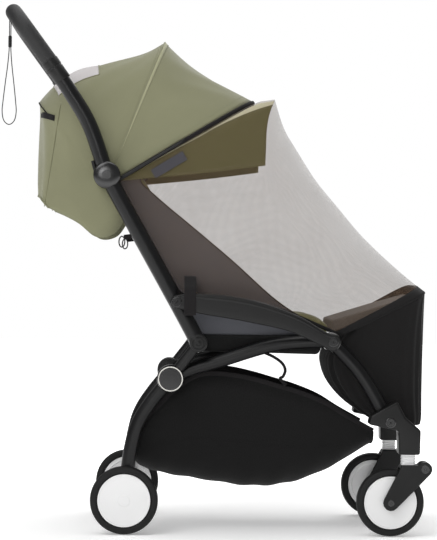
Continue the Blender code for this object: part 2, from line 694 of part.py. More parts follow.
def build_armrest(tag, side, material):
    """A bowed blade from the back tube to the seat hinge, on the outside of both."""
    rear = round_end(ARM_PIVOT, ARMREST_REAR_R, ARMREST_REAR_ARC)
    front = round_end(SEAT_HINGE, ARMREST_FRONT_R, ARMREST_FRONT_ARC)
    outline = rear + ARMREST_TOP + front + ARMREST_UNDER
    plate(f"armrest_{tag}", outline, ARMREST_Y, side, material, bevel=ARMREST_BEVEL)


def build_front_leg(tag, side, materials):
    """The curved front leg, the caster housing at its foot, and the fork."""
    path = side_path([SEAT_HINGE, *FRONT_LEG_KNOTS], side * CHASSIS_Y, 2)
    leg = swept_tube(f"front_leg_{tag}", path, CHASSIS_R, materials["frame"])
    trim(leg, SEAT_HINGE, SEAT_HINGE_R, side)

    ahead = (path[-1] - path[-2]).normalized()
    across = Vector((ahead.z, 0, -ahead.x))
    seat = path[-1] + ahead * SEAT_GAP * 1.5
    back_corner = seat + across * HOUSING_REACH[0]
    front_corner = seat - across * HOUSING_REACH[1]
    corners = [(corner.x, corner.z) for corner in (back_corner, front_corner)]
    housing = [corners[0], *HOUSING_UNDER, *HOUSING_OVER, corners[1]]
    plate(f"caster_housing_{tag}", housing, STEM_Y, side, materials["plastic"], bevel=HOUSING_BEVEL)

    low, high = BUFFER_Z
    blade = round_end(FRONT_AXLE, FORK_AXLE_R, FORK_AXLE_ARC) + round_end(FORK_TOP, FORK_TOP_R, FORK_TOP_ARC)
    outline = [*blade, (BUFFER_X[0], low - SEAT_GAP)]
    fork = plate(f"fork_{tag}", outline, FORK_Y, side, materials["plastic"])
    trim(fork, FRONT_AXLE, FORK_SLOT_R, side, FORK_SLOT_Y, WHEEL_SEGMENTS)

    block = [(BUFFER_X[0], low), (BUFFER_X[1], low), (BUFFER_X[1], high), (BUFFER_X[0], high)]
    plate(f"caster_buffer_{tag}", block, BUFFER_Y, side, materials["disc"])


def build_wheels(materials):
    """Four wheels, each a foam tyre on a plain white disc."""
    drop, reach = TYRE_SHOULDER
    rows = (("rear", REAR_AXLE, REAR_WHEEL_Y), ("front", FRONT_AXLE, FRONT_WHEEL_Y))
    for tag, side in SIDES.items():
        for row, centre, (inner, outer) in rows:
            tyre = [
                (DISC_R + SEAT_GAP, inner),
                (WHEEL_R - drop, inner),
                (WHEEL_R, inner + reach),
                (WHEEL_R, outer - reach),
                (WHEEL_R - drop, outer),
                (DISC_R + SEAT_GAP, outer),
            ]
            turned(f"tyre_{row}_{tag}", centre, tyre, side, materials["tyre"])
            back = inner + DISC_INSET
            disc = [(0, back), (DISC_R, back), (DISC_R, outer - DISC_RIM_DROP), (0, outer - DISC_HUB_DROP)]
            turned(f"disc_{row}_{tag}", centre, disc, side, materials["disc"])


def build_crossbars(materials):
    """Straight bars that join the two sides."""
    bars = {"bar_hub": (HUB, HUB_Y[0]), "bar_seat": (SEAT_HINGE, SEAT_HINGE_Y[0]), "bar_rear": REAR_BAR}
    for name, ((x, z), reach) in bars.items():
        path = [Vector((x, y, z)) for y in (SEAT_GAP - reach, 0, reach - SEAT_GAP)]
        swept_tube(name, path, CROSSBAR_R, materials["frame"], (0, 0, 1))


def build_basket(materials):
    """The sling under the seat: each rib is the lower half of a superellipse."""
    rows = []
    for rib in BASKET_RIBS:
        row = []
        for k in range(BASKET_SEGMENTS + 1):
            turn = math.pi * k / BASKET_SEGMENTS
            drop = abs(math.sin(turn)) ** (2 / BASKET_POWER)
            across = math.copysign(abs(math.cos(turn)) ** (2 / BASKET_POWER), math.cos(turn))
            row.append(Vector((rib.x, rib.half * across, rib.top_z - (rib.top_z - rib.bottom_z) * drop)))
        rows.append(row)
    add_sheet("basket", rows[::-1], materials["sling"], CLOTH_THICKNESS)


def build_seat(materials):
    """Seat base, pads, side panels and the raised leg rest that props the net's foot."""
    full = (-1.0, 1.0)
    plate("seat_base", SEAT_BASE_OUTLINE, [y * SEAT_BASE_HALF for y in full], 1, materials["sling"])
    plate("seat_pad", SEAT_PAD_OUTLINE, [y * PAD_HALF for y in full], 1, materials["pad"])

    slope = Vector((HOOD_HINGE[0] - ARM_PIVOT[0], HOOD_HINGE[1] - ARM_PIVOT[1])).normalized()
    foot = Vector(BACK_PAD_FOOT)
    ahead = Vector((slope.y, -slope.x)) * BACK_PAD_THICKNESS
    top = foot + slope * BACK_PAD_LENGTH
    outline = [tuple(p) for p in (foot, foot + ahead, top + ahead, top)]
    plate("back_pad", outline, [y * PAD_HALF for y in full], 1, materials["pad"])

    drop = LEG_REST_THICKNESS
    under = [(x, z - drop) for x, z in reversed(LEG_REST_TOP)]
    plate("leg_rest", LEG_REST_TOP + under, [y * LEG_REST_HALF for y in full], 1, materials["sling"])

    for tag, side in SIDES.items():
        plate(f"side_panel_{tag}", SIDE_PANEL_OUTLINE, SIDE_PANEL_Y, side, materials["panel"])


def main():
    clear_scene()
    materials = make_materials()
    build_net(materials)
    build_foot_cover(materials)
    build_straps(materials)
    build_label(materials)
    build_wrist_cord(materials)
    build_hood(materials)
    build_push_bar(materials)
    build_side_frame(materials)
    build_wheels(materials)
    build_crossbars(materials)
    build_basket(materials)
    build_seat(materials)


main()
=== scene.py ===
"""The looks of a sheer mosquito net that hangs on a plain compact stroller.

Metres, +Z up, +X is the way the stroller faces, and the right-hand side is at -Y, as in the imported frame.
Every new piece is a surface of two parameters, worked out as whole numpy arrays.
"""

import logging
import math
from dataclasses import dataclass, field
from enum import Enum
from typing import Iterable, Sequence

import bmesh
import bpy
import numpy as np
from mathutils import Matrix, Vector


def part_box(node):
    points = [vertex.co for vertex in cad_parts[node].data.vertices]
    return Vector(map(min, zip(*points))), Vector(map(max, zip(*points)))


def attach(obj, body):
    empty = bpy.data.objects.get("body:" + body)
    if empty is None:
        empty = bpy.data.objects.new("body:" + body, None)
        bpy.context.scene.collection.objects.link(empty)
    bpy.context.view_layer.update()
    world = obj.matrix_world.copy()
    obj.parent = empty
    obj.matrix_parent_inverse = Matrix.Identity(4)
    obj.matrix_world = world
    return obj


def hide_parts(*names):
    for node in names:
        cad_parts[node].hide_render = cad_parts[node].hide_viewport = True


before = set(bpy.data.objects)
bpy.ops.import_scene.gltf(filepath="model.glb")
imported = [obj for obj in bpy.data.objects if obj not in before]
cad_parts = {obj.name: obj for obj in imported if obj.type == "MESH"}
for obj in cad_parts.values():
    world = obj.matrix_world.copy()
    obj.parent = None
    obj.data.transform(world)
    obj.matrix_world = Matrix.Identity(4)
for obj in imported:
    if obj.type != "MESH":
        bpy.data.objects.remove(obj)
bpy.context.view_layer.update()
LOG = logging.getLogger("stroller_net")

BODY = "root"
SIDES = {"right": -1.0, "left": 1.0}
ACROSS = np.array((0.0, 1.0, 0.0))
UP = np.array((0.0, 0.0, 1.0))

# Places that several sub-assemblies share, as (x, z) in the side view
HOOD_HINGE = (-0.2243, 0.7163)
ARM_PIVOT = (-0.0819, 0.4650)
RECLINE_JOINT = (-0.0368, 0.3834)
HUB = (-0.0920, 0.3116)
SEAT_HINGE = (0.2298, 0.3892)
REAR_AXLE = (-0.1814, 0.0680)
FRONT_AXLE = (0.3526, 0.0680)
HOOP_BASE = (-0.2004, 0.7103)
HOOP_TOP = (0.0725, 0.8780)


class Facing(Enum):
    """Which way a skin's faces are turned."""

    OUT = 1
    IN = -1


class Pattern(Enum):
    """Which coordinates a finish follows: the piece's own surface in metres, or its place."""

    SURFACE = "UV"
    PLACE = "Object"


# ---- Shader graphs


def linear(colour: Sequence[float]) -> tuple[float, float, float, float]:
    """A linear colour from screen values of 0 to 255: the 2.4 power curve, with its straight foot.

    Args:
        colour: red, green and blue.

    Returns:
        Red, green, blue and a full alpha.
    """
    share = np.asarray(colour, float) / 255
    curve = np.where(share <= 0.04045, share / 12.92, ((share + 0.055) / 1.055) ** 2.4)
    return (*curve.tolist(), 1.0)


class Graph:
    """Writes the nodes of one material around its Principled shader."""

    def __init__(self, name: str) -> None:
        """Starts a material of that name."""
        self.material = bpy.data.materials.new(name)
        self.material.use_nodes = True
        self.tree = self.material.node_tree
        self.shader = self.tree.nodes["Principled BSDF"]

    def node(self, kind: str, **settings: object) -> bpy.types.Node:
        """Adds a node with the settings given as its attributes."""
        made = self.tree.nodes.new(kind)
        for key, value in settings.items():
            setattr(made, key, value)
        return made

    def feed(self, socket: bpy.types.NodeSocket, value: object) -> None:
        """Links a socket to another, or sets its plain value."""
        if isinstance(value, bpy.types.NodeSocket):
            self.tree.links.new(value, socket)
        else:
            socket.default_value = value

    def sum(self, operation: str, *values: object) -> bpy.types.NodeSocket:
        """One step of arithmetic on sockets or numbers."""
        made = self.node("ShaderNodeMath", operation=operation)
        for socket, value in zip(made.inputs, values):
            self.feed(socket, value)
        return made.outputs[0]

    def blend(self, share: object, one: object, two: object) -> bpy.types.NodeSocket:
        """A colour between two others, by a share from 0 to 1."""
        made = self.node("ShaderNodeMix", data_type="RGBA")
        self.feed(made.inputs[0], share)
        self.feed(made.inputs[6], one)
        self.feed(made.inputs[7], two)
        return made.outputs[2]

    def ramp(self, value: object, low: float, high: float, start: float, end: float) -> bpy.types.NodeSocket:
        """Carries a value from the range low to high, smoothly, to the range start to end."""
        made = self.node("ShaderNodeMapRange", interpolation_type="SMOOTHSTEP")
        for socket, item in zip(made.inputs, (value, low, high, start, end)):
            self.feed(socket, item)
        return made.outputs[0]

    def noise(self, pattern: Pattern, scale: float, detail: float = 3.0) -> bpy.types.NodeSocket:
        """Cloudy noise from 0 to 1, with that many blotches to a metre."""
        place = self.node("ShaderNodeTexCoord").outputs[pattern.value]
        made = self.node("ShaderNodeTexNoise")
        self.feed(made.inputs["Vector"], place)
        self.feed(made.inputs["Scale"], scale)
        self.feed(made.inputs["Detail"], detail)
        return made.outputs["Fac"]

    def axes(self, pattern: Pattern) -> tuple[bpy.types.NodeSocket, ...]:
        """The separate axes of the coordinates a pattern follows."""
        place = self.node("ShaderNodeTexCoord").outputs[pattern.value]
        made = self.node("ShaderNodeSeparateXYZ")
        self.feed(made.inputs[0], place)
        return tuple(made.outputs)

    def waves(self, value: object, pitch: float) -> bpy.types.NodeSocket:
        """A sine of that pitch in metres along a coordinate, from -1 to 1."""
        return self.sum("SINE", self.sum("MULTIPLY", value, 2 * math.pi / pitch))

    def bump(self, height: object, depth: float, strength: float = 1.0) -> None:
        """Raises the surface by a height from 0 to 1, times a depth in metres."""
        made = self.node("ShaderNodeBump")
        self.feed(made.inputs["Height"], height)
        self.feed(made.inputs["Distance"], depth)
        self.feed(made.inputs["Strength"], strength)
        self.feed(self.shader.inputs["Normal"], made.outputs[0])

    def plain(self, **values: float) -> None:
        """Sets plain values on the shader's own sockets; an underscore in a key stands for a space."""
        for key, value in values.items():
            self.shader.inputs[key.replace("_", " ")].default_value = value


@dataclass(frozen=True)
class Cloth:
    """A woven cloth: two crossed rows of threads, uneven dyeing, painted shade between the threads, and a
    faint sheen.
    """

    name: str
    colour: tuple[int, int, int]
    pitch: float = 0.0016
    depth: float = 0.00018
    dye_and_weave_shade: float = 0.16
    rough: float = 0.92
    sheen: float = 0.25
    pattern: Pattern = Pattern.SURFACE

    def make(self) -> bpy.types.Material:
        """Builds the material: thread height is half of one plus the product of two sines, and the colour
        darkens where the threads are low, as painted shade.
        """
        graph = Graph(self.name)
        axes = graph.axes(self.pattern)
        one, two = (axes[0], axes[1]) if self.pattern is Pattern.SURFACE else (axes[0], axes[2])
        cross = graph.sum("MULTIPLY", graph.waves(one, self.pitch), graph.waves(two, self.pitch))
        height = graph.sum("MULTIPLY_ADD", cross, 0.5, 0.5)
        cloud = graph.noise(self.pattern, 14.0, 5.0)
        slub = graph.noise(self.pattern, 420.0, 2.0)
        tone = graph.sum("MULTIPLY_ADD", cloud, 0.45, graph.sum("MULTIPLY", slub, 0.35))
        # painted shade: the tone also falls where the thread height is low, so the weave's hollows are darker
        tone = graph.sum("MULTIPLY_ADD", height, 0.20, tone)
        base = np.array(linear(self.colour)[:3])
        # dye_and_weave_shade sets the swing of the tone, for the dye clouds and the painted weave shade alike
        dark = (*(base * (1 - self.dye_and_weave_shade)).tolist(), 1.0)
        light = (*np.minimum(base * (1 + self.dye_and_weave_shade), 1).tolist(), 1.0)
        graph.feed(graph.shader.inputs["Base Color"], graph.blend(tone, dark, light))
        rough = graph.ramp(slub, 0.3, 0.7, self.rough - 0.06, min(self.rough + 0.05, 1.0))
        graph.feed(graph.shader.inputs["Roughness"], rough)
        graph.plain(Sheen_Weight=self.sheen, Sheen_Roughness=0.5, Specular_IOR_Level=0.25)
        graph.bump(graph.sum("MULTIPLY_ADD", cloud, 0.6, height), self.depth, 0.7)
        return graph.material


@dataclass(frozen=True)
class Creased(Cloth):
    """A cloth with painted light and shade at the visor's crease: painted shade on its flank, and a painted
    highlight on the strip above.
    """

    # light is the painted highlight colour of the strip above the crease; colour is the painted shade of the
    # flank below it
    light: tuple[int, int, int] = (226, 224, 190)
    crease: tuple[float, float, float, float] = (-0.0384, 0.7992, 0.6385, -1.241)
    rear_slope: float = 0.56

    def make(self) -> bpy.types.Material:
        """Builds the material: the crease is start_z + slope * run + bend * run squared, run is x - start_x.

        Behind the start it is straight, at the rear slope.
        """
        graph = Graph(self.name)
        x, _, z = graph.axes(Pattern.PLACE)
        start_x, start_z, slope, bend = self.crease
        run = graph.sum("SUBTRACT", x, start_x)
        ahead, behind = graph.sum("MAXIMUM", run, 0.0), graph.sum("MINIMUM", run, 0.0)
        line = graph.sum("MULTIPLY_ADD", graph.sum("MULTIPLY_ADD", ahead, bend, slope), ahead, start_z)
        line = graph.sum("MULTIPLY_ADD", behind, self.rear_slope, line)
        # painted light and shade: the painted highlight colour above the crease line, the painted shade
        # colour below it
        above = graph.ramp(graph.sum("SUBTRACT", z, line), -0.0008, 0.0008, 0.0, 1.0)
        cloud = graph.noise(Pattern.SURFACE, 300.0, 3.0)
        lit = graph.blend(cloud, linear([value * 0.94 for value in self.light]), linear(self.light))
        shade = graph.blend(cloud, linear([value * 0.88 for value in self.colour]), linear(self.colour))
        graph.feed(graph.shader.inputs["Base Color"], graph.blend(above, shade, lit))
        graph.plain(Roughness=self.rough, Specular_IOR_Level=0.2)
        graph.bump(cloud, self.depth, 0.6)
        return graph.material


@dataclass(frozen=True)
class Sheer:
    """A sheer micro mesh: threads cross at a slant and leave small holes that one sees through."""

    name: str
    colour: tuple[int, int, int]
    pitch: float = 0.0026
    thread: float = 0.42
    hole: float = 0.16

    def make(self) -> bpy.types.Material:
        """Builds the material: cover falls from the threads to the middle of each hole."""
        graph = Graph(self.name)
        across, along, _ = graph.axes(Pattern.SURFACE)
        rise = graph.sum("ABSOLUTE", graph.waves(graph.sum("ADD", across, along), 2 * self.pitch))
        fall = graph.sum("ABSOLUTE", graph.waves(graph.sum("SUBTRACT", across, along), 2 * self.pitch))
        hole = graph.ramp(graph.sum("MULTIPLY", rise, fall), 0.05, 0.75, 0.0, 1.0)
        pull = graph.noise(Pattern.SURFACE, 9.0, 2.0)
        cover = graph.ramp(hole, 0.0, 1.0, self.thread, self.hole)
        graph.feed(graph.shader.inputs["Alpha"], graph.sum("MULTIPLY_ADD", pull, 0.08, cover))
        base = np.array(linear(self.colour)[:3])
        dark = (*(base * 0.86).tolist(), 1.0)
        light = (*np.minimum(base * 1.10, 1).tolist(), 1.0)
        graph.feed(graph.shader.inputs["Base Color"], graph.blend(hole, light, dark))
        graph.plain(Roughness=0.8, Sheen_Weight=0.4, Sheen_Roughness=0.4, Specular_IOR_Level=0.2)
        graph.bump(graph.sum("SUBTRACT", 1.0, hole), 0.0002, 0.4)
        return graph.material


@dataclass(frozen=True)
class Coat:
    """A hard skin: powder coat, moulded plastic, foam or grip, told apart by grain and gloss."""

    name: str
    colour: tuple[int, int, int]
    rough: float = 0.42
    grain: float = 900.0
    depth: float = 0.00008
    worn: float = 0.12
    metal: float = 0.0
    coat: float = 0.0
    shine: float = 0.3

    def make(self) -> bpy.types.Material:
        """Builds the material: fine grain for the bump, and slow clouds for tone and roughness."""
        graph = Graph(self.name)
        grain = graph.noise(Pattern.PLACE, self.grain, 2.0)
        cloud = graph.noise(Pattern.PLACE, 22.0, 4.0)
        base = np.array(linear(self.colour)[:3])
        dark = (*(base * (1 - self.worn)).tolist(), 1.0)
        light = (*np.minimum(base * (1 + self.worn), 1).tolist(), 1.0)
        graph.feed(graph.shader.inputs["Base Color"], graph.blend(cloud, dark, light))
        mixed = graph.sum("MULTIPLY_ADD", grain, 0.5, graph.sum("MULTIPLY", cloud, 0.5))
        rough = graph.ramp(mixed, 0.3, 0.7, self.rough - 0.07, self.rough + 0.07)
        graph.feed(graph.shader.inputs["Roughness"], rough)
        graph.plain(
            Metallic=self.metal, Specular_IOR_Level=self.shine, Coat_Weight=self.coat, Coat_Roughness=0.25
        )
        graph.bump(grain, self.depth, 0.6)
        return graph.material


@dataclass(frozen=True)
class Leather:
    """A pebbled grip skin: cells with sunk edges, which are darkened as painted shade."""

    name: str
    colour: tuple[int, int, int]
    cells: float = 520.0

    def make(self) -> bpy.types.Material:
        """Builds the material: the bump is the distance to the nearest edge of a cell."""
        graph = Graph(self.name)
        place = graph.node("ShaderNodeTexCoord").outputs["Object"]
        cell = graph.node("ShaderNodeTexVoronoi", feature="DISTANCE_TO_EDGE")
        graph.feed(cell.inputs["Vector"], place)
        graph.feed(cell.inputs["Scale"], self.cells)
        pebble = graph.ramp(cell.outputs["Distance"], 0.0, 0.35, 0.0, 1.0)
        base = np.array(linear(self.colour)[:3])
        # painted shade: the colour is darker in the sunk edges of the cells
        dark = (*(base * 0.7).tolist(), 1.0)
        graph.feed(graph.shader.inputs["Base Color"], graph.blend(pebble, dark, (*base.tolist(), 1.0)))
        graph.feed(graph.shader.inputs["Roughness"], graph.ramp(pebble, 0.0, 1.0, 0.62, 0.48))
        graph.bump(pebble, 0.00025, 0.8)
        return graph.material


# ---- Surfaces


def spline(knots: Sequence[Sequence[float]], steps: int) -> np.ndarray:
    """A smooth curve through the knots: each span is the Catmull-Rom cubic of its four nearest knots.

    Args:
        knots: points of any dimension.
        steps: how many steps each span takes.

    Returns:
        The points, one row each.
    """
    k = np.asarray(knots, float)
    k = np.vstack([2 * k[0] - k[1], k, 2 * k[-1] - k[-2]])
    a, b, c, d = k[:-3, None], k[1:-2, None], k[2:-1, None], k[3:, None]
    t = (np.arange(steps) / steps)[None, :, None]
    body = (2 * b + (c - a) * t + (2 * a - 5 * b + 4 * c - d) * t**2 + (3 * b - a - 3 * c + d) * t**3) / 2
    return np.vstack([body.reshape(-1, k.shape[1]), k[-2]])


def run_of(path: np.ndarray) -> np.ndarray:
    """The distance along a path at each of its points."""
    return np.concatenate([[0.0], np.cumsum(np.linalg.norm(np.diff(path, axis=0), axis=1))])


def even(path: np.ndarray, count: int) -> np.ndarray:
    """The same path with its points spaced evenly along it."""
    run = run_of(path)
    stops = np.linspace(0, run[-1], count)
    return np.column_stack([np.interp(stops, run, path[:, k]) for k in range(path.shape[1])])


def side_path(knots: Sequence[Sequence[float]], y: float, steps: int = 8) -> np.ndarray:
    """A smooth path in the upright plane at y, through knots given as (x, z)."""
    flat = spline(knots, steps)
    return np.column_stack([flat[:, 0], np.full(len(flat), y), flat[:, 1]])


def unit(vectors: np.ndarray) -> np.ndarray:
    """The vectors at length one."""
    return vectors / np.maximum(np.linalg.norm(vectors, axis=-1, keepdims=True), 1e-12)


def carried(path: np.ndarray, section: np.ndarray, normal: np.ndarray = ACROSS) -> np.ndarray:
    """A section carried along a path: point = path + out * side + up * normal.

    Args:
        path: the points of the path.
        section: (side, normal) offsets, one table for all of the path or one for each point of it.
        normal: a direction square to the path, in which the section's second axis points.

    Returns:
        A grid of points, one row for each point of the path.
    """
    ahead = unit(np.gradient(path, axis=0))
    side = unit(np.cross(np.broadcast_to(normal, ahead.shape), ahead))
    section = np.broadcast_to(section, (len(path), *section.shape[-2:]))
    upward = np.broadcast_to(unit(np.asarray(normal, float)), side.shape)
    return path[:, None] + section[..., :1] * side[:, None] + section[..., 1:] * upward[:, None]


def ring(radius: float, count: int = 24, flatness: float = 1.0) -> np.ndarray:
    """A circle's section, squeezed by flatness along the normal."""
    turn = np.arange(count) * 2 * math.pi / count
    return radius * np.column_stack([np.cos(turn), flatness * np.sin(turn)])


def rounded(half_w: float, half_h: float, power: float = 4.0, count: int = 28) -> np.ndarray:
    """A section between a ring and a box: a superellipse of that power."""
    turn = np.arange(count) * 2 * math.pi / count
    cos, sin = np.cos(turn), np.sin(turn)
    return np.column_stack(
        [
            half_w * np.sign(cos) * np.abs(cos) ** (2 / power),
            half_h * np.sign(sin) * np.abs(sin) ** (2 / power),
        ]
    )


def outward(grid: np.ndarray) -> np.ndarray:
    """The unit normals of a grid of points: the cross product of its two directions, away from its middle."""
    normal = unit(np.cross(np.gradient(grid, axis=1), np.gradient(grid, axis=0)))
    middle = grid.reshape(-1, 3).mean(0)
    return normal if (normal * (grid - middle)).sum() > 0 else -normal


def skin(
    name: str,
    grid: np.ndarray,
    closed_across: bool = False,
    closed_along: bool = False,
    capped: bool = False,
    facing: Facing = Facing.OUT,
) -> bpy.types.Object:
    """A mesh over a grid of points, with its surface coordinates in metres.

    Args:
        name: the piece's name.
        grid: the points, as rows along and columns across.
        closed_across: whether each row closes on itself.
        closed_along: whether the last row joins the first.
        capped: whether the first and last rows are filled.
        facing: which way an open sheet's faces turn, seen from its middle.

    Returns:
        The object, with its points in place and its faces turned out.
    """
    rows, columns = grid.shape[:2]
    i, k = np.meshgrid(
        np.arange(rows if closed_along else rows - 1),
        np.arange(columns if closed_across else columns - 1),
        indexing="ij",
    )
    along = np.stack([i, i, i + 1, i + 1], -1).reshape(-1, 4)
    across = np.stack([k, k + 1, k + 1, k], -1).reshape(-1, 4)
    faces = (along % rows) * columns + across % columns
    wide, tall = np.concatenate([grid, grid[:, :1]], 1), np.concatenate([grid, grid[:1]], 0)
    u = np.concatenate([[0.0], np.cumsum(np.linalg.norm(np.diff(wide, axis=1), axis=2).mean(0))])
    v = np.concatenate([[0.0], np.cumsum(np.linalg.norm(np.diff(tall, axis=0), axis=2).mean(1))])
    uv = np.stack([u[across], v[along]], -1).reshape(-1, 2)
    polygons = faces.tolist()
    if capped:
        last = (rows - 1) * columns
        polygons += [list(range(columns)), list(range(last, last + columns))]
        uv = np.vstack([uv, np.zeros((2 * columns, 2))])
    mesh = bpy.data.meshes.new(name)
    mesh.from_pydata(grid.reshape(-1, 3).tolist(), [], polygons)
    layer = mesh.uv_layers.new(name="UVMap")
    layer.data.foreach_set("uv", uv.astype(np.float32).ravel())
    shape = bmesh.new()
    shape.from_mesh(mesh)
    bmesh.ops.remove_doubles(shape, verts=shape.verts, dist=1e-6)
    bmesh.ops.dissolve_degenerate(shape, edges=shape.edges, dist=1e-7)
    if closed_across and (capped or closed_along or not any(edge.is_boundary for edge in shape.edges)):
        bmesh.ops.recalc_face_normals(shape, faces=shape.faces)
    else:
        middle = grid.reshape(-1, 3).mean(0)
        lean = sum(
            f.normal.dot(f.calc_center_median() - type(f.normal)(middle)) * f.calc_area() for f in shape.faces
        )
        if lean * facing.value < 0:
            bmesh.ops.reverse_faces(shape, faces=shape.faces)
    shape.to_mesh(mesh)
    shape.free()
    mesh.shade_smooth()
    obj = bpy.data.objects.new(name, mesh)
    bpy.context.scene.collection.objects.link(obj)
    return obj


def turned(
    name: str, centre: Sequence[float], profile: np.ndarray, side: float, count: int = 64
) -> bpy.types.Object:
    """A turned piece about a crosswise axis: radius times cosine and sine of the turn, at each y.

    Args:
        name: the piece's name.
        centre: the axis, as (x, z).
        profile: (radius, y) pairs, which close on the axis at both ends.
        side: -1 for the right-hand side, 1 for the left.
        count: how many steps go round.

    Returns:
        The object.
    """
    turn = np.arange(count) * 2 * math.pi / count - math.pi / 2
    radius, y = profile[:, :1], profile[:, 1:]
    x = centre[0] + radius * np.cos(turn)
    z = centre[1] + radius * np.sin(turn)
    return crisp(skin(name, np.stack([x, np.broadcast_to(side * y, x.shape), z], -1), closed_across=True), 35)


def crisp(obj: bpy.types.Object, angle: float = 40.0) -> bpy.types.Object:
    """Keeps edges sharp where faces meet at more than that angle, in degrees."""
    obj.data.set_sharp_from_angle(angle=math.radians(angle))
    return obj


def thicken(obj: bpy.types.Object, thickness: float, offset: float = -1.0) -> bpy.types.Object:
    """Gives a sheet its thickness, away from its outer face unless offset says otherwise."""
    wall = obj.modifiers.new("Cloth thickness", "SOLIDIFY")
    wall.thickness = thickness
    wall.offset = offset
    return obj


def soft_copy(name: str, node: str, bevel: float, segments: int = 3, angle: float = 30.0) -> bpy.types.Object:
    """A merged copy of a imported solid, with its flat faces whole again and its edges rounded.

    Args:
        name: the new piece's name.
        node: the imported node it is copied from.
        bevel: the width of the rounded edge.
        segments: how many steps the rounding takes.
        angle: the least angle between faces, in degrees, at which an edge is rounded.

    Returns:
        The new object.
    """
    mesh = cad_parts[node].data.copy()
    mesh.name = name
    mesh.materials.clear()
    shape = bmesh.new()
    shape.from_mesh(mesh)
    bmesh.ops.remove_doubles(shape, verts=shape.verts, dist=2e-5)
    bmesh.ops.dissolve_limit(shape, angle_limit=math.radians(1), verts=shape.verts, edges=shape.edges)
    shape.to_mesh(mesh)
    shape.free()
    obj = bpy.data.objects.new(name, mesh)
    bpy.context.scene.collection.objects.link(obj)
    edge = obj.modifiers.new("Rounded edges", "BEVEL")
    edge.width = bevel
    edge.segments = segments
    edge.limit_method = "ANGLE"
    edge.angle_limit = math.radians(angle)
    edge.harden_normals = False
    mesh.shade_smooth()
    mesh.set_sharp_from_angle(angle=math.radians(60))
    return obj


def settle(
    obj: bpy.types.Object, finish: bpy.types.Material, stands_for: Iterable[str] = ()
) -> bpy.types.Object:
    """Dresses a piece, sets it on the body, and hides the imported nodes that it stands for.

    Args:
        obj: the piece, with its points in place.
        finish: the material it takes.
        stands_for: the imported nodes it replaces.

    Returns:
        The same object.
    """
    obj.data.materials.clear()
    obj.data.materials.append(finish)
    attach(obj, BODY)
    names = list(stands_for)
    if names:
        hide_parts(*names)
    LOG.info("%s is in place%s", obj.name, f", for {', '.join(names)}" if names else "")
    return obj


@dataclass(frozen=True)
class Palette:
    """Every finish of the object, made once."""

    net: bpy.types.Material = field(default_factory=Sheer("sheer_net", (97, 79, 64)).make)
    net_hem: bpy.types.Material = field(
        default_factory=Cloth("net_hem_tape", (24, 23, 23), 0.0012, sheen=0.05).make
    )
    foot: bpy.types.Material = field(
        default_factory=Cloth("foot_cover_cloth", (17, 16, 16), 0.0018, sheen=0.05).make
    )
    hood: bpy.types.Material = field(default_factory=Cloth("hood_olive", (123, 123, 97), 0.0015).make)
    # the visor's finish paints a highlight on the strip above its crease and shade on its flank
    visor: bpy.types.Material = field(
        default_factory=Creased("visor_painted_light_and_shade", (94, 95, 56), light=(226, 222, 190)).make
    )
    vent: bpy.types.Material = field(default_factory=Cloth("vent_mesh", (184, 180, 180), 0.003).make)
    panel: bpy.types.Material = field(
        default_factory=Cloth("seat_side_cloth", (80, 81, 86), 0.002, sheen=0.05).make
    )
    panel_dark: bpy.types.Material = field(
        default_factory=Cloth("back_cloth_dark", (26, 25, 26), sheen=0.05).make
    )
    sling: bpy.types.Material = field(
        default_factory=Cloth("basket_cloth", (14, 14, 14), 0.0018, sheen=0.05).make
    )
    pad: bpy.types.Material = field(
        default_factory=Cloth("seat_pad_olive", (112, 112, 72), 0.0022, pattern=Pattern.PLACE).make
    )
    leg: bpy.types.Material = field(
        default_factory=Cloth("leg_rest_cloth", (98, 94, 90), 0.0020, sheen=0.05, pattern=Pattern.PLACE).make
    )
    # the welt's lighter olive is a painted highlight along the hood's ridge
    welt: bpy.types.Material = field(default_factory=Cloth("hood_welt_painted_highlight", (158, 158, 128), 0.0012).make)
    block: bpy.types.Material = field(
        default_factory=Cloth(
            "sling_block_cloth", (16, 16, 16), 0.0020, sheen=0.05, pattern=Pattern.PLACE
        ).make
    )
    webbing: bpy.types.Material = field(
        default_factory=Cloth(
            "strap_webbing", (22, 20, 21), 0.0024, 0.0003, sheen=0.05, pattern=Pattern.PLACE
        ).make
    )
    label: bpy.types.Material = field(
        default_factory=Cloth("label_weave", (62, 61, 66), 0.0010, pattern=Pattern.PLACE).make
    )
    thread: bpy.types.Material = field(
        default_factory=Cloth("olive_thread", (112, 112, 84), 0.0010, pattern=Pattern.PLACE).make
    )
    black_thread: bpy.types.Material = field(
        default_factory=Cloth("black_thread", (12, 12, 12), 0.0010, sheen=0.05, pattern=Pattern.PLACE).make
    )
    cord: bpy.types.Material = field(
        default_factory=Cloth("cord_braid", (22, 22, 22), 0.0012, pattern=Pattern.PLACE).make
    )
    tube: bpy.types.Material = field(default_factory=Coat("frame_powder_coat", (10, 10, 11), 0.34).make)
    grip: bpy.types.Material = field(default_factory=Leather("grip_leather", (20, 20, 21)).make)
    plastic: bpy.types.Material = field(
        default_factory=Coat("black_plastic", (15, 15, 15), 0.42, 1400.0).make
    )
    gloss: bpy.types.Material = field(
        default_factory=Coat("gloss_plastic", (12, 12, 13), 0.22, coat=0.3, shine=0.5).make
    )
    foam: bpy.types.Material = field(
        default_factory=Coat("tyre_foam", (22, 22, 22), 0.66, 700.0, 0.0002).make
    )
    disc: bpy.types.Material = field(
        default_factory=Coat("wheel_disc_white", (236, 236, 236), 0.38, 300.0, worn=0.02).make
    )
    pale: bpy.types.Material = field(default_factory=Coat("pale_ring", (214, 212, 206), 0.40, worn=0.03).make)


# ---- The arched sheets

ARCH_STEPS = 160


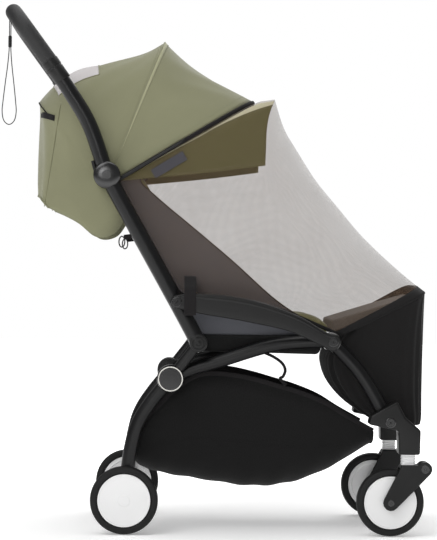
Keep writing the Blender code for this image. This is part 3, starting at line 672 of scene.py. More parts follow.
def arches_between(table: np.ndarray, steps: int, creases: Sequence[int] = ()) -> np.ndarray:
    """More arches between those of a table, on a smooth curve through its rows, apart from sharp creases.

    Args:
        table: one arch to a row.
        steps: how many rows each span takes.
        creases: rows at which the curve starts anew, so that the sheet has a ridge there.

    Returns:
        The longer table.
    """
    stops = [0, *creases, len(table) - 1]
    parts = [spline(table[a : b + 1], steps) for a, b in zip(stops, stops[1:])]
    return np.vstack([parts[0], *[part[1:] for part in parts[1:]]])


def arch_rows(table: np.ndarray, columns: int) -> np.ndarray:
    """The points of arches: straight from base to side, then across^p + rise^p = 1 to the top.

    Args:
        table: rows of base_x, base_z, side_x, side_z, top_x, top_z, half, power and lean.
        columns: how many points one half takes.

    Returns:
        A grid of points from the right-hand base, over the top, to the left-hand base.
    """
    base_x, base_z, side_x, side_z, top_x, top_z, half, power, lean = (c[:, None] for c in table.T)
    turn = np.linspace(0, math.pi / 2, ARCH_STEPS)[None]
    rise = np.sin(turn) ** (2 / power)
    across = np.cos(turn) ** (2 / power)
    x = np.concatenate([base_x, side_x + (top_x - side_x) * rise**lean], 1)
    y = np.concatenate([-half, -half * across], 1)
    z = np.concatenate([base_z, side_z + (top_z - side_z) * rise], 1)
    halves = np.stack([even(row, columns) for row in np.stack([x, y, z], -1)])
    mirrored = halves[:, -2::-1] * (1, -1, 1)
    return np.concatenate([halves, mirrored], 1)


def band(grid: np.ndarray, low: float, high: float, columns: int, lift: float) -> np.ndarray:
    """A strip of a sheet between two distances from its right-hand edge, lifted off it along its normals.

    Args:
        grid: the sheet's points.
        low: the strip's near edge, in metres from the first column.
        high: the strip's far edge.
        columns: how many points the strip is wide.
        lift: how far it stands off the sheet.

    Returns:
        The strip's own grid.
    """
    normal = outward(grid)
    stops = np.linspace(low, high, columns)
    rows = []
    for points, normals in zip(grid, normal):
        run = run_of(points)
        both = np.hstack([points, normals])
        picked = np.column_stack([np.interp(stops, run, both[:, k]) for k in range(6)])
        rows.append(picked[:, :3] + lift * unit(picked[:, 3:]))
    return np.stack(rows)


def seam(name: str, path: np.ndarray, radius: float, normal: np.ndarray | None = None) -> bpy.types.Object:
    """A corded seam: a thin round bead along a path on a sheet."""
    ahead = unit(np.gradient(path, axis=0))
    if normal is None:
        normal = unit(np.cross(ahead, np.roll(ahead, 1, axis=1) + 0.1))
    side = unit(np.cross(normal, ahead))
    upward = unit(np.cross(ahead, side))
    circle = ring(radius, 8)
    grid = path[:, None] + circle[None, :, :1] * side[:, None] + circle[None, :, 1:] * upward[:, None]
    return skin(name, grid, closed_across=True, capped=True)


def stitches(
    name: str, path: np.ndarray, normal: np.ndarray, pitch: float, radius: float
) -> bpy.types.Object:
    """A row of stitches: short beads that rise out of the cloth and go back into it, pitch apart.

    Each is a squeezed ball: its point is the path's, plus length, width and height times sines of two turns.
    """
    run = run_of(path)
    count = max(int(run[-1] / pitch), 2)
    stops = (np.arange(count) + 0.5) * run[-1] / count
    both = np.hstack([path, normal, unit(np.gradient(path, axis=0))])
    at = np.column_stack([np.interp(stops, run, both[:, k]) for k in range(9)])
    centre, up, ahead = at[:, :3], unit(at[:, 3:6]), unit(at[:, 6:])
    side = np.cross(up, ahead)
    u = np.linspace(0, math.pi, 5)[:, None]
    v = np.arange(5)[None] * 2 * math.pi / 5
    lengthwise, wide, high = np.cos(u) + 0 * v, np.sin(u) * np.cos(v), np.sin(u) * np.sin(v)
    grids = (
        centre[:, None, None]
        + 0.36 * pitch * lengthwise[None, ..., None] * ahead[:, None, None]
        + radius * wide[None, ..., None] * side[:, None, None]
        + radius * high[None, ..., None] * up[:, None, None]
    )
    rows, columns = 5, 5
    i, k = np.meshgrid(np.arange(rows - 1), np.arange(columns), indexing="ij")
    one = np.stack([i * columns + k, i * columns + (k + 1) % columns], -1)
    quad = np.stack(
        [one[..., 0], one[..., 1], one[..., 1] + columns, one[..., 0] + columns], -1
    ).reshape(-1, 4)
    faces = (quad[None] + (np.arange(count) * rows * columns)[:, None, None]).reshape(-1, 4)
    mesh = bpy.data.meshes.new(name)
    mesh.from_pydata(grids.reshape(-1, 3).tolist(), [], faces.tolist())
    shape = bmesh.new()
    shape.from_mesh(mesh)
    bmesh.ops.remove_doubles(shape, verts=shape.verts, dist=1e-7)
    bmesh.ops.recalc_face_normals(shape, faces=shape.faces)
    shape.to_mesh(mesh)
    shape.free()
    mesh.shade_smooth()
    obj = bpy.data.objects.new(name, mesh)
    bpy.context.scene.collection.objects.link(obj)
    return obj


NET_TABLE = np.array(
    [
        (-0.2051, 0.7025, -0.2051, 0.7025, 0.0764, 0.8754, 0.1612, 3.2, 1.0),
        (-0.1970, 0.6550, -0.1000, 0.7350, 0.0860, 0.8790, 0.1615, 4.2, 1.0),
        (-0.1600, 0.6000, -0.0100, 0.7500, 0.0980, 0.8800, 0.1615, 5.5, 1.4),
        (-0.1430, 0.5720, 0.0450, 0.7600, 0.1070, 0.8805, 0.1615, 7.0, 2.0),
        (-0.1260, 0.5450, 0.0945, 0.7715, 0.1140, 0.8805, 0.1615, 8.5, 3.0),
        (-0.1000, 0.5000, 0.1100, 0.7250, 0.1346, 0.8248, 0.1610, 5.2, 2.0),
        (-0.0600, 0.4700, 0.1300, 0.6850, 0.1624, 0.7798, 0.1605, 4.0, 1.5),
        (0.0120, 0.4680, 0.1600, 0.6300, 0.2041, 0.7175, 0.1605, 3.6, 1.2),
        (0.0698, 0.4620, 0.2000, 0.5850, 0.2502, 0.6633, 0.1605, 3.4, 1.0),
        (0.1278, 0.4470, 0.2350, 0.5400, 0.2964, 0.6094, 0.1595, 3.4, 1.0),
        (0.1668, 0.4330, 0.2700, 0.5000, 0.3424, 0.5648, 0.1570, 3.6, 1.0),
        (0.2100, 0.4150, 0.3050, 0.4700, 0.3881, 0.5245, 0.1530, 4.2, 1.0),
        (0.2500, 0.3987, 0.3404, 0.4448, 0.4294, 0.4915, 0.1505, 5.0, 1.0),
    ]
)


@dataclass
class NetPanel:
    """The sheer net, from the hood's hoop down to the foot cover, with its hem tape and seams."""

    palette: Palette
    columns: int = 70
    row_steps: int = 8
    tip_row: int = 4
    hem_width: float = 0.009
    lift: float = 0.0005
    ripple: float = 0.0011
    grid: np.ndarray = field(init=False)

    def __post_init__(self) -> None:
        """Works out the sheet's points once, for the net and all that is sewn to it."""
        table = arches_between(NET_TABLE, self.row_steps, (self.tip_row,))
        self.grid = self.pulled(arch_rows(table, self.columns))

    def pulled(self, grid: np.ndarray) -> np.ndarray:
        """The sheet with soft pull lines from the tip: sines across and along, which fade at all edges."""
        along = np.linspace(0, 1, len(grid))[:, None]
        across = np.linspace(0, 1, grid.shape[1])[None]
        fade = np.sin(math.pi * along) ** 0.7 * np.sin(math.pi * across) ** 0.5
        wave = np.sin(
            2 * math.pi * (3.2 * across + 1.4 * along)
        ) + 0.6 * np.sin(2 * math.pi * (7.5 * across - 2 * along))
        inward = self.ripple * fade * (wave - 1.6) / 2
        return grid + inward[..., None] * outward(grid)

    def build(self) -> None:
        """Makes the net and its trimmings."""
        net = skin("net_sheet", self.grid)
        settle(net, self.palette.net, ["net_panel"])
        for tag in SIDES:
            grid = self.grid if tag == "right" else self.grid[:, ::-1]
            tape = skin(f"net_hem_{tag}", band(grid, 0.0, self.hem_width, 4, self.lift))
            settle(thicken(tape, 0.0010), self.palette.net_hem)
        self.build_seam()

    def build_seam(self) -> None:
        """The taped seam at which the net is sewn to the foot cover: the sheet's last rows, lifted."""
        rows = self.grid[-4:]
        tape = skin("net_foot_seam", rows + self.lift * outward(self.grid)[-4:])
        settle(thicken(tape, 0.0012), self.palette.net_hem)


VISOR_EDGE = [(-0.1998, 0.7070), (-0.1300, 0.7140), (-0.0300, 0.7250), (0.0350, 0.7335), (0.0936, 0.7420)]


@dataclass
class Visor:
    """The flap close under the net, with a painted highlight on top and painted shade at its sides, and a
    double-stitched hem.
    """

    palette: Palette
    inset: float = 0.0040
    columns: int = 60
    hem: float = 0.005

    def table(self) -> np.ndarray:
        """The net's first arches, a little smaller, with the flap's own lower edge."""
        table = NET_TABLE[:5].copy()
        table[:, :2] = VISOR_EDGE
        table[0, 2:4] = VISOR_EDGE[0]
        table[:, 4] -= self.inset / 2
        table[:, 5] -= self.inset
        table[:, 6] -= self.inset
        return arches_between(table, 10)

    def build(self) -> None:
        """Makes the flap, its hem line and its stitches."""
        grid = arch_rows(self.table(), self.columns)
        flap = skin("visor_flap", grid)
        settle(thicken(flap, 0.0014), self.palette.visor, ["visor"])
        normal = outward(grid)
        for tag in SIDES:
            pick = slice(None) if tag == "right" else slice(None, None, -1)
            for number, far in enumerate((self.hem, self.hem + 0.003)):
                line = band(grid[:, pick], far, far + 0.001, 2, 0.0001)[:, 0]
                row = stitches(f"visor_stitch_{tag}_{number}", line, normal[:, pick][:, 0], 0.0032, 0.00035)
                settle(row, self.palette.thread)


HOOD_TABLE = np.array(
    [
        (-0.2028, 0.7141, 0.0700, 0.8817, 0.1600, 3.2),
        (-0.2080, 0.7165, 0.0040, 0.9180, 0.1600, 3.2),
        (-0.2130, 0.7185, -0.0565, 0.9535, 0.1600, 3.2),
        (-0.2170, 0.7190, -0.1115, 1.0000, 0.1600, 3.2),
        (-0.2215, 0.7130, -0.1600, 0.9760, 0.1600, 3.2),
        (-0.2205, 0.7030, -0.2330, 0.9570, 0.1600, 3.2),
        (-0.2140, 0.6860, -0.2900, 0.9420, 0.1600, 3.2),
        (-0.2020, 0.6620, -0.3380, 0.9110, 0.1600, 3.2),
        (-0.1870, 0.6300, -0.3720, 0.8720, 0.1600, 3.2),
        (-0.2100, 0.5995, -0.3680, 0.8350, 0.1600, 3.4),
        (-0.2450, 0.5930, -0.3680, 0.7900, 0.1600, 3.6),
        (-0.2800, 0.6190, -0.3690, 0.7450, 0.1590, 3.8),
        (-0.3150, 0.6380, -0.3690, 0.7050, 0.1570, 4.0),
        (-0.3420, 0.6500, -0.3670, 0.6780, 0.1530, 4.0),
    ]
)


@dataclass
class Hood:
    """The canopy over the head end: two arched panels, a ridge seam, a rear curtain, a vent and its hoop."""

    palette: Palette
    columns: int = 54
    row_steps: int = 8
    ridge_row: int = 3
    lip_row: int = 8
    piping: float = 0.0014
    welt_lift: float = 0.0012
    curtain_top: tuple[float, float] = (-0.3217, 0.8636)
    curtain_foot: tuple[float, float] = (-0.3504, 0.6530)
    tab_ends: tuple[tuple[float, float], tuple[float, float]] = ((-0.3630, 0.8425), (-0.3335, 0.8330))
    grid: np.ndarray = field(init=False)

    def __post_init__(self) -> None:
        """Works out the sheet's points once."""
        side, top, shape = HOOD_TABLE[:, :2], HOOD_TABLE[:, 2:4], HOOD_TABLE[:, 4:]
        table = np.hstack([side, side, top, shape, np.ones((len(HOOD_TABLE), 1))])
        rows = arches_between(table, self.row_steps, (self.ridge_row, self.lip_row))
        self.grid = self.sagged(self.by_angle(rows))

    def by_angle(self, table: np.ndarray) -> np.ndarray:
        """The arches at equal steps of the superellipse's own angle, so that narrow rows keep their shape."""
        _, _, side_x, side_z, top_x, top_z, half, power, _ = (c[:, None] for c in table.T)
        turn = np.linspace(0, math.pi / 2, self.columns)[None]
        rise, across = np.sin(turn) ** (2 / power), np.cos(turn) ** (2 / power)
        x = side_x + (top_x - side_x) * rise
        z = side_z + (top_z - side_z) * rise
        halves = np.stack([x, -half * across, z], -1)
        return np.concatenate([halves, halves[:, -2::-1] * (1, -1, 1)], 1)

    def sagged(self, grid: np.ndarray) -> np.ndarray:
        """The sheet hollowed a little between its ribs: a half sine from rib to rib, times soft creases."""
        steps = self.row_steps
        row = np.arange(len(grid))[:, None] / steps
        across = np.linspace(0, 1, grid.shape[1])[None]
        front = np.where(row < self.ridge_row, np.sin(math.pi * row / self.ridge_row), 0)
        span = self.lip_row - self.ridge_row
        back = np.where(
            (row >= self.ridge_row) & (row < self.lip_row), np.sin(math.pi * (row - self.ridge_row) / span), 0
        )
        fade = np.sin(math.pi * across) ** 0.6
        drape = 0.0016 * np.sin(2 * math.pi * (5 * across + 0.3 * row)) * fade * (row >= self.lip_row)
        crease = 0.0010 * np.sin(2 * math.pi * (9 * across + 0.5 * row)) * fade
        inward = -(0.0030 * front + 0.0025 * back) * fade + crease * (front + back) + drape
        return grid + inward[..., None] * outward(grid)

    def build(self) -> None:
        """Makes the canopy, its seams, hoop, vent, rear clip and piping."""
        canopy = skin("hood_canopy", self.grid, facing=Facing.OUT)
        settle(thicken(canopy, 0.0016), self.palette.hood, ["hood"])
        self.build_seams()
        self.build_hoop()
        self.build_vent()
        self.build_clip()

    def build_seams(self) -> None:
        """Ridge bead with stitches on both sides, the dark lip piping, and the curtain's upright seams."""
        normal = outward(self.grid)
        ridge = self.ridge_row * self.row_steps
        lip = self.lip_row * self.row_steps
        settle(
            seam("hood_ridge_bead", self.grid[ridge] + 0.0004 * normal[ridge], 0.0016),
            self.palette.hood,
        )
        middle = self.grid.shape[1] // 2
        rear = slice(middle - 21, middle + 22)
        piping = seam("hood_lip_piping", self.grid[lip, rear] + 0.0004 * normal[lip, rear], self.piping)
        settle(piping, self.palette.black_thread)
        # the strip along the ridge takes the lighter olive: a painted highlight
        strip = self.grid[ridge - 1 : ridge + 1] + self.welt_lift * normal[ridge - 1 : ridge + 1]
        settle(thicken(skin("hood_ridge_welt_painted_highlight", strip), 0.0010), self.palette.welt)
        for name, row in (
            ("front", ridge - 1), ("rear", ridge + 1), ("hoop", 2), ("hem", len(self.grid) - 2)
        ):
            line = self.grid[row] + 0.0001 * normal[row]
            settle(
                stitches(f"hood_stitch_{name}", line, normal[row], 0.0034, 0.00035),
                self.palette.thread,
            )
        for tag, side in SIDES.items():
            line = self.curtain_line(side)
            bead = seam(f"hood_curtain_seam_{tag}", line, 0.0009)
            settle(bead, self.palette.thread)
        edge = seam("hood_hem_bead", self.grid[-1], 0.0015)
        settle(edge, self.palette.hood)

    def on_flank(self, side: float, places: np.ndarray, reach: float = 0.005) -> np.ndarray:
        """Points of one flank at places given as (x, z): a mean of the sheet's points, by distance.

        Args:
            side: -1 for the right-hand flank, 1 for the left.
            places: the (x, z) places in the side view.
            reach: how wide the bell is.

        Returns:
            The points, moved out of the sheet by its seam's thickness.
        """
        half = self.grid.shape[1] // 2
        flank = (self.grid + 0.0005 * outward(self.grid))[self.lip_row * self.row_steps - 6 :, :half]
        points = flank.reshape(-1, 3)
        away = ((points[None, :, (0, 2)] - places[:, None]) ** 2).sum(-1) / reach**2
        weight = np.exp(-(away - away.min(1, keepdims=True)))
        depth = (weight * points[None, :, 1]).sum(1) / weight.sum(1)
        return np.column_stack([places[:, 0], -side * depth, places[:, 1]])

    def curtain_line(self, side: float) -> np.ndarray:
        """The curtain's upright seam on one flank: straight from its top to its foot in the side view."""
        share = np.linspace(0, 1, 40)[:, None]
        places = np.array(self.curtain_top) * (1 - share) + np.array(self.curtain_foot) * share
        return self.on_flank(side, places)

    def build_hoop(self) -> None:
        """The hood's front hoop in its black binding, and the flat arms that carry it from the hinges."""
        table = np.array([(*HOOP_BASE, *HOOP_BASE, *HOOP_TOP, 0.1600, 3.2, 1.0)])
        path = arch_rows(table, 70)[0]
        rise = np.array((HOOP_TOP[0] - HOOP_BASE[0], 0, HOOP_TOP[1] - HOOP_BASE[1]))
        grid = carried(path, rounded(0.0038, 0.0040, 2.6, 16), unit(np.cross(rise, ACROSS)))
        hoop = skin("hood_hoop_binding", grid, closed_across=True, capped=True)
        settle(hoop, self.palette.webbing, ["hood_hoop"])
        for tag, side in SIDES.items():
            ends = np.array([(-0.2180, 0.7030), (-0.1950, 0.7130), (-0.1500, 0.7410), (-0.0700, 0.7905)])
            path = side_path(ends, side * 0.1650, 10)
            taper = np.linspace(1.0, 0.45, len(path))[:, None, None]
            section = rounded(0.0046, 0.0012, 3.0, 16)[None] * np.concatenate(
                [taper, np.ones_like(taper)], -1
            )
            arm = skin(f"hood_hoop_arm_{tag}", carried(path, section), closed_across=True, capped=True)
            settle(arm, self.palette.plastic)

    def build_vent(self) -> None:
        """The pale mesh vent on the rear of the top: a patch of the sheet, lifted, in a thin olive border."""
        normal = outward(self.grid)
        first, last = self.ridge_row * self.row_steps + 18, self.lip_row * self.row_steps - 6
        middle = self.grid.shape[1] // 2
        rows, columns = slice(first, last), slice(middle - 20, middle + 21)
        patch = skin("hood_vent_mesh", self.grid[rows, columns] + 0.0009 * normal[rows, columns])
        settle(thicken(patch, 0.0006), self.palette.vent)
        loop = np.vstack(
            [
                self.grid[first, columns],
                self.grid[rows, middle + 20],
                self.grid[last - 1, columns][::-1],
                self.grid[rows, middle - 20][::-1],
            ]
        )
        loop = even(loop, 160) + (0, 0, 0.0006)
        settle(seam("hood_vent_border", loop, 0.0010, UP), self.palette.hood)

    def build_clip(self) -> None:
        """The black webbing tabs that hold the curtain shut: flat bands over the rear corners."""
        share = np.linspace(0, 1, 14)[:, None]
        places = np.array(self.tab_ends[0]) * (1 - share) + np.array(self.tab_ends[1]) * share
        for tag, side in SIDES.items():
            path = self.on_flank(side, places, 0.0030) + (-0.0004, side * 0.0004, 0)
            grid = carried(path, rounded(0.0011, 0.0060, 6.0, 16), UP)
            tab = skin(f"hood_tab_{tag}", grid, closed_across=True, capped=True)
            settle(tab, self.palette.webbing)


FOOT_RINGS = np.array(
    [
        (0.2515, 0.3985, 0.4294, 0.4895, 0.1505),
        (0.2360, 0.3800, 0.4288, 0.4600, 0.1495),
        (0.2225, 0.3480, 0.4283, 0.4150, 0.1480),
        (0.2330, 0.3080, 0.4276, 0.3450, 0.1455),
        (0.2640, 0.2680, 0.4270, 0.2800, 0.1430),
        (0.3060, 0.2360, 0.4266, 0.2360, 0.1400),
        (0.3300, 0.2255, 0.4235, 0.2200, 0.1370),
    ]
)


@dataclass
class FootCover:
    """The black pouch under the net: rounded rings from the seam down, with folds and a sewn bottom."""

    palette: Palette
    columns: int = 180
    squareness: float = 5.0
    bottom_shares: tuple[float, ...] = (0.97, 0.90, 0.70, 0.35, 0.0)

    def rings(self) -> np.ndarray:
        """The rings: powers of the cosine and sine, with folds that pull the wall in lower down."""
        table = spline(FOOT_RINGS, 6)
        back_x, back_z, front_x, front_z, half = (c[:, None] for c in table.T)
        turn = (np.arange(self.columns) * 2 * math.pi / self.columns)[None]
        x = np.sign(np.cos(turn)) * np.abs(np.cos(turn)) ** (2 / self.squareness)
        y = np.sign(np.sin(turn)) * np.abs(np.sin(turn)) ** (2 / self.squareness)
        depth = np.linspace(0, 1, len(table))[:, None]
        rear = (1 - np.cos(turn)) / 2
        pull = 0.0030 * depth * (1 + np.sin(5 * turn + 0.6)) / 2
        pull = pull + 0.0042 * depth**0.7 * rear * (1 + np.sin(13 * turn + 2.5 * depth)) / 2
        pull = pull + 0.0018 * np.sin(math.pi * depth) * (1 + np.sin(21 * turn + 5 * depth)) / 2
        z = back_z + (front_z - back_z) * (x + 1) / 2
        wide = np.maximum((front_x - back_x) / 2 - pull, 0.001)
        return np.stack([(back_x + front_x) / 2 + x * wide, y * (half - pull), z], -1)

    def build(self) -> None:
        """Makes the pouch, its top binding and its upright corner seams."""
        rings = self.rings()
        last = rings[-1]
        centre = np.array((last[:, 0].mean(), 0.0, last[:, 2].min() - 0.0015))
        shrunk = [centre + (last - centre) * share for share in self.bottom_shares]
        for level, rows in enumerate(shrunk):
            rows[:, 2] = np.minimum(rows[:, 2], last[:, 2].min() - 0.0010 - 0.0004 * level)
        grid = np.concatenate([rings, np.stack(shrunk)])
        pouch = skin("foot_pouch", grid, closed_across=True)
        settle(thicken(pouch, 0.0014), self.palette.foot, ["foot_cover"])
        top = np.vstack([rings[0], rings[0][:1]])
        settle(seam("foot_top_binding", top + (0, 0, 0.0004), 0.0013, UP), self.palette.net_hem)
        normal = outward(rings)
        for name, share in (
            ("front_right", 0.885), ("front_left", 0.115), ("rear_right", 0.615), ("rear_left", 0.385)
        ):
            column = round(share * self.columns)
            path = rings[1:, column] + 0.0002 * normal[1:, column]
            settle(
                seam(f"foot_seam_{name}", path, 0.0008, normal[1:, column]),
                self.palette.black_thread,
            )


@dataclass
class PushBar:
    """The U-shaped grip in its pebbled skin, the collars, and the arms down to the hinges."""

    palette: Palette
    top: tuple[float, float] = (-0.4187, 1.0455)
    foot: tuple[float, float] = (-0.3312, 0.9276)
    half: float = 0.190
    radius: float = 0.0165
    corner: float = 0.060
    arm_radius: float = 0.0153
    arm_knots: tuple[tuple[float, float], ...] = ((-0.2990, 0.8800), (-0.2600, 0.8150))

    def grip_path(self) -> tuple[np.ndarray, np.ndarray]:
        """The U: straight up, a quarter circle, straight across and down again; with the U's own normal."""
        foot = np.array((self.foot[0], 0, self.foot[1]))
        rise = np.array((self.top[0], 0, self.top[1])) - foot
        reach, up = np.linalg.norm(rise), unit(rise)
        turn = np.linspace(0, math.pi / 2, 14)
        bend_y = self.half - self.corner + self.corner * np.cos(turn)
        bend_s = reach - self.corner + self.corner * np.sin(turn)
        straight = np.linspace(0, reach - self.corner, 10)[:-1]
        y = np.concatenate([np.full(len(straight), self.half), bend_y])
        s = np.concatenate([straight, bend_s])
        right = foot + up * s[:, None] - ACROSS * y[:, None]
        return np.vstack([right, right[::-1] * (1, -1, 1)]), np.cross(up, ACROSS)

    def build(self) -> None:
        """Makes the grip, its seam, the collars and the arms."""
        path, normal = self.grip_path()
        path = even(path, 160)
        grip = skin(
            "push_grip_skin", carried(path, ring(self.radius, 32), normal), closed_across=True, capped=True
        )
        settle(crisp(grip), self.palette.grip, ["push_grip"])
        inner = unit(path.mean(0) - path) * (self.radius - 0.0001)
        line = even((path + inner)[6:-6], 300)
        upward = unit(path.mean(0) - line)
        settle(
            stitches("push_grip_stitch", line, upward, 0.0048, 0.0006), self.palette.black_thread
        )
        for tag, side in SIDES.items():
            self.build_arm(tag, side)

    def build_arm(self, tag: str, side: float) -> None:
        """One arm with its collar: a tube whose radius steps out at the foot of the grip."""
        foot = np.array(self.foot)
        lean = unit(np.array(self.top) - foot)
        knots = [tuple(foot - lean * 0.0005), *self.arm_knots, HOOD_HINGE]
        path = side_path(knots, side * self.half, 14)
        arm = skin(
            f"push_arm_tube_{tag}", carried(path, ring(self.arm_radius, 32)), closed_across=True, capped=True
        )
        settle(crisp(arm), self.palette.tube, [f"push_arm_{tag}"])
        stops = np.array(
            [-0.0310, -0.0305, -0.0295, -0.0050, -0.0035, -0.0030, 0.0, 0.0010, 0.0150, 0.0165, 0.0170]
        )
        radii = np.array(
            [0.0154, 0.0164, 0.0168, 0.0172, 0.0170, 0.0158, 0.0158, 0.0176, 0.0178, 0.0176, 0.0166]
        )
        at = foot + lean * (stops[:, None] + 0.002)
        rows = np.column_stack([at[:, 0], np.full(len(at), side * self.half), at[:, 1]])
        section = ring(1.0, 32)[None] * radii[:, None, None]
        collar = skin(f"push_collar_{tag}", carried(rows, section), closed_across=True, capped=True)
        settle(crisp(collar, 30), self.palette.plastic)


@dataclass
class SideFrame:
    """Tubes, hinges, hubs and the armrest blade of both sides, with the crossbars."""

    palette: Palette
    push_y: float = 0.190
    chassis_y: float = 0.168
    chassis_r: float = 0.0135
    link_y: float = 0.194
    rail_knots: tuple[tuple[float, float], ...] = (
        (-0.0530, 0.3292),
        (0.0067, 0.3470),
        (0.1023, 0.3774),
        (0.1702, 0.3873),
    )
    rear_knots: tuple[tuple[float, float], ...] = (
        (-0.1321, 0.2610),
        (-0.1566, 0.2200),
        (-0.1690, 0.1760),
        (-0.1760, 0.1250),
        (-0.1814, 0.0530),
    )
    front_knots: tuple[tuple[float, float], ...] = (
        (0.2565, 0.3635),
        (0.2830, 0.3350),
        (0.3074, 0.3010),
        (0.3330, 0.2560),
    )

    def tube(self, name: str, knots: Sequence[Sequence[float]], y: float, radius: float, node: str) -> None:
        """A round tube along knots in the side view, which stands for a packed one."""
        path = side_path(knots, y, 12)
        obj = skin(name, carried(path, ring(radius, 32)), closed_across=True, capped=True)
        settle(crisp(obj), self.palette.tube, [node])

    def cap(
        self, name: str, centre: Sequence[float], radius: float, y: Sequence[float], side: float
    ) -> bpy.types.Object:
        """A hinge drum: chamfered rim, a sunk ring, and a raised button in the middle of its outer face."""
        inner, outer = y
        edge = 0.0022
        profile = np.array(
            [
                (0, inner),
                (radius - edge, inner),
                (radius - edge * 0.3, inner + edge * 0.3),
                (radius, inner + edge),
                (radius, outer - edge),
                (radius - edge * 0.3, outer - edge * 0.3),
                (radius - edge, outer),
                (radius * 0.74, outer + 0.0002),
                (radius * 0.70, outer - 0.0010),
                (radius * 0.60, outer - 0.0010),
                (radius * 0.56, outer + 0.0003),
                (radius * 0.30, outer + 0.0006),
                (radius * 0.26, outer - 0.0008),
                (0, outer - 0.0008),
            ]
        )
        return settle(
            turned(f"{name}_cap", centre, profile, side), self.palette.plastic, [name]
        )

    def dome(
        self, name: str, centre: Sequence[float], radius: float, y: Sequence[float], side: float
    ) -> None:
        """A domed hinge: its outer face rises by a superellipse of the radius, to a sunk screw."""
        inner, outer = y
        share = np.linspace(1.0, 0.34, 12)
        rise = (1 - share**3.0) ** 0.5
        skirt = [(0, inner), (radius - 0.002, inner), (radius, inner + 0.002)]
        face = np.column_stack([radius * share, outer - 0.0062 * (1 - rise)])
        screw = [
            (0.31, 0.0012), (0.19, 0.0012), (0.17, 0.0004), (0.09, 0.0004), (0.07, 0.0012), (0.0, 0.0012)
        ]
        profile = np.vstack([skirt, face, [(radius * r, outer - drop) for r, drop in screw]])
        settle(turned(f"{name}_cap", centre, profile, side), self.palette.gloss, [name])

    def build(self) -> None:
        """Makes both sides and the bars between them."""
        for tag, side in SIDES.items():
            self.build_tubes(tag, side)
            self.build_joints(tag, side)
            self.build_armrest(tag, side)
        bars = {
            "bar_hub": (HUB, 0.1540),
            "bar_seat": (SEAT_HINGE, 0.1550),
            "bar_rear": ((-0.1783, 0.1020), 0.1560),
        }
        for name, ((x, z), reach) in bars.items():
            path = np.column_stack([np.full(24, x), np.linspace(-reach, reach, 24), np.full(24, z)])
            bar = skin(f"{name}_tube", carried(path, ring(0.009, 24), UP), closed_across=True, capped=True)
            settle(crisp(bar), self.palette.tube, [name])

    def build_tubes(self, tag: str, side: float) -> None:
        """The back tube, the link, the seat rail, and both legs of one side."""
        y = side * self.chassis_y
        self.tube(
            f"back_post_{tag}",
            [HOOD_HINGE, ARM_PIVOT, RECLINE_JOINT],
            side * self.push_y,
            0.0163,
            f"back_tube_{tag}",
        )
        self.tube(f"link_bar_{tag}", [RECLINE_JOINT, HUB], side * self.link_y, 0.0110, f"link_{tag}")
        self.tube(f"rail_{tag}", [HUB, *self.rail_knots, SEAT_HINGE], y, self.chassis_r, f"seat_rail_{tag}")
        self.tube(f"rear_post_{tag}", [HUB, *self.rear_knots], y, self.chassis_r, f"rear_leg_{tag}")
        self.tube(f"front_post_{tag}", [SEAT_HINGE, *self.front_knots], y, self.chassis_r, f"front_leg_{tag}")

    def build_joints(self, tag: str, side: float) -> None:
        """The hinge caps, the hinge lever, the webbing with its ring, the recline cap, and the hub with its
        bare disc in a pale ring.
        """
        self.dome(f"hood_hinge_{tag}", HOOD_HINGE, 0.0270, (0.1645, 0.2088), side)
        self.dome(f"seat_hinge_{tag}", SEAT_HINGE, 0.0185, (0.1545, 0.2084), side)
        lever = side_path([(-0.2420, 0.7160), (-0.2480, 0.7290), (-0.2528, 0.7450)], side * 0.1900, 8)
        taper = np.linspace(1.0, 0.75, len(lever))[:, None, None]
        peg = skin(
            f"hinge_lever_{tag}",
            carried(lever, ring(0.0052, 20)[None] * taper),
            closed_across=True,
            capped=True,
        )
        settle(crisp(peg, 60), self.palette.plastic)
        webbing = side_path([(-0.1560, 0.5960), (-0.1720, 0.5950), (-0.1890, 0.5930)], side * 0.1780, 8)
        band_grid = carried(webbing, rounded(0.0050, 0.0011, 4.0, 16))
        holder = skin(f"ring_webbing_{tag}", band_grid, closed_across=True, capped=True)
        settle(holder, self.palette.webbing)
        turn = np.linspace(0, 2 * math.pi, 41)[:-1]
        oval = np.column_stack(
            [-0.1930 + 0.0058 * np.cos(turn), np.full(40, side * 0.1780), 0.5840 + 0.0108 * np.sin(turn)]
        )
        wire = np.vstack([oval[-1:], oval, oval[:1]])
        loop = carried(wire, ring(0.0013, 12))[1:-1]
        hoop = skin(f"webbing_ring_{tag}", loop, closed_across=True, closed_along=True)
        settle(hoop, self.palette.plastic)
        self.cap(f"recline_joint_{tag}", RECLINE_JOINT, 0.0180, (0.1700, 0.2062), side)
        outer = 0.2066
        body = np.array(
            [
                (0, 0.1535),
                (0.0250, 0.1535),
                (0.0270, 0.1555),
                (0.0270, outer - 0.0030),
                (0.0255, outer - 0.0008),
                (0.0246, outer),
                (0.0240, outer - 0.0008),
                (0.0100, outer - 0.0006),
                (0, outer - 0.0006),
            ]
        )
        settle(
            turned(f"hub_{tag}_disc", HUB, body, side), self.palette.gloss, [f"hub_{tag}"]
        )
        band_profile = np.array(
            [
                (0.0226, outer - 0.0006),
                (0.0228, outer + 0.0002),
                (0.0246, outer + 0.0003),
                (0.0250, outer - 0.0006),
            ]
        )
        turn = np.arange(72) * 2 * math.pi / 72
        x = HUB[0] + band_profile[:, :1] * np.cos(turn)
        z = HUB[1] + band_profile[:, :1] * np.sin(turn)
        grid = np.stack([x, np.broadcast_to(side * band_profile[:, 1:], x.shape), z], -1)
        band_ring = skin(f"hub_ring_{tag}", grid, closed_across=True, closed_along=True)
        settle(band_ring, self.palette.pale)

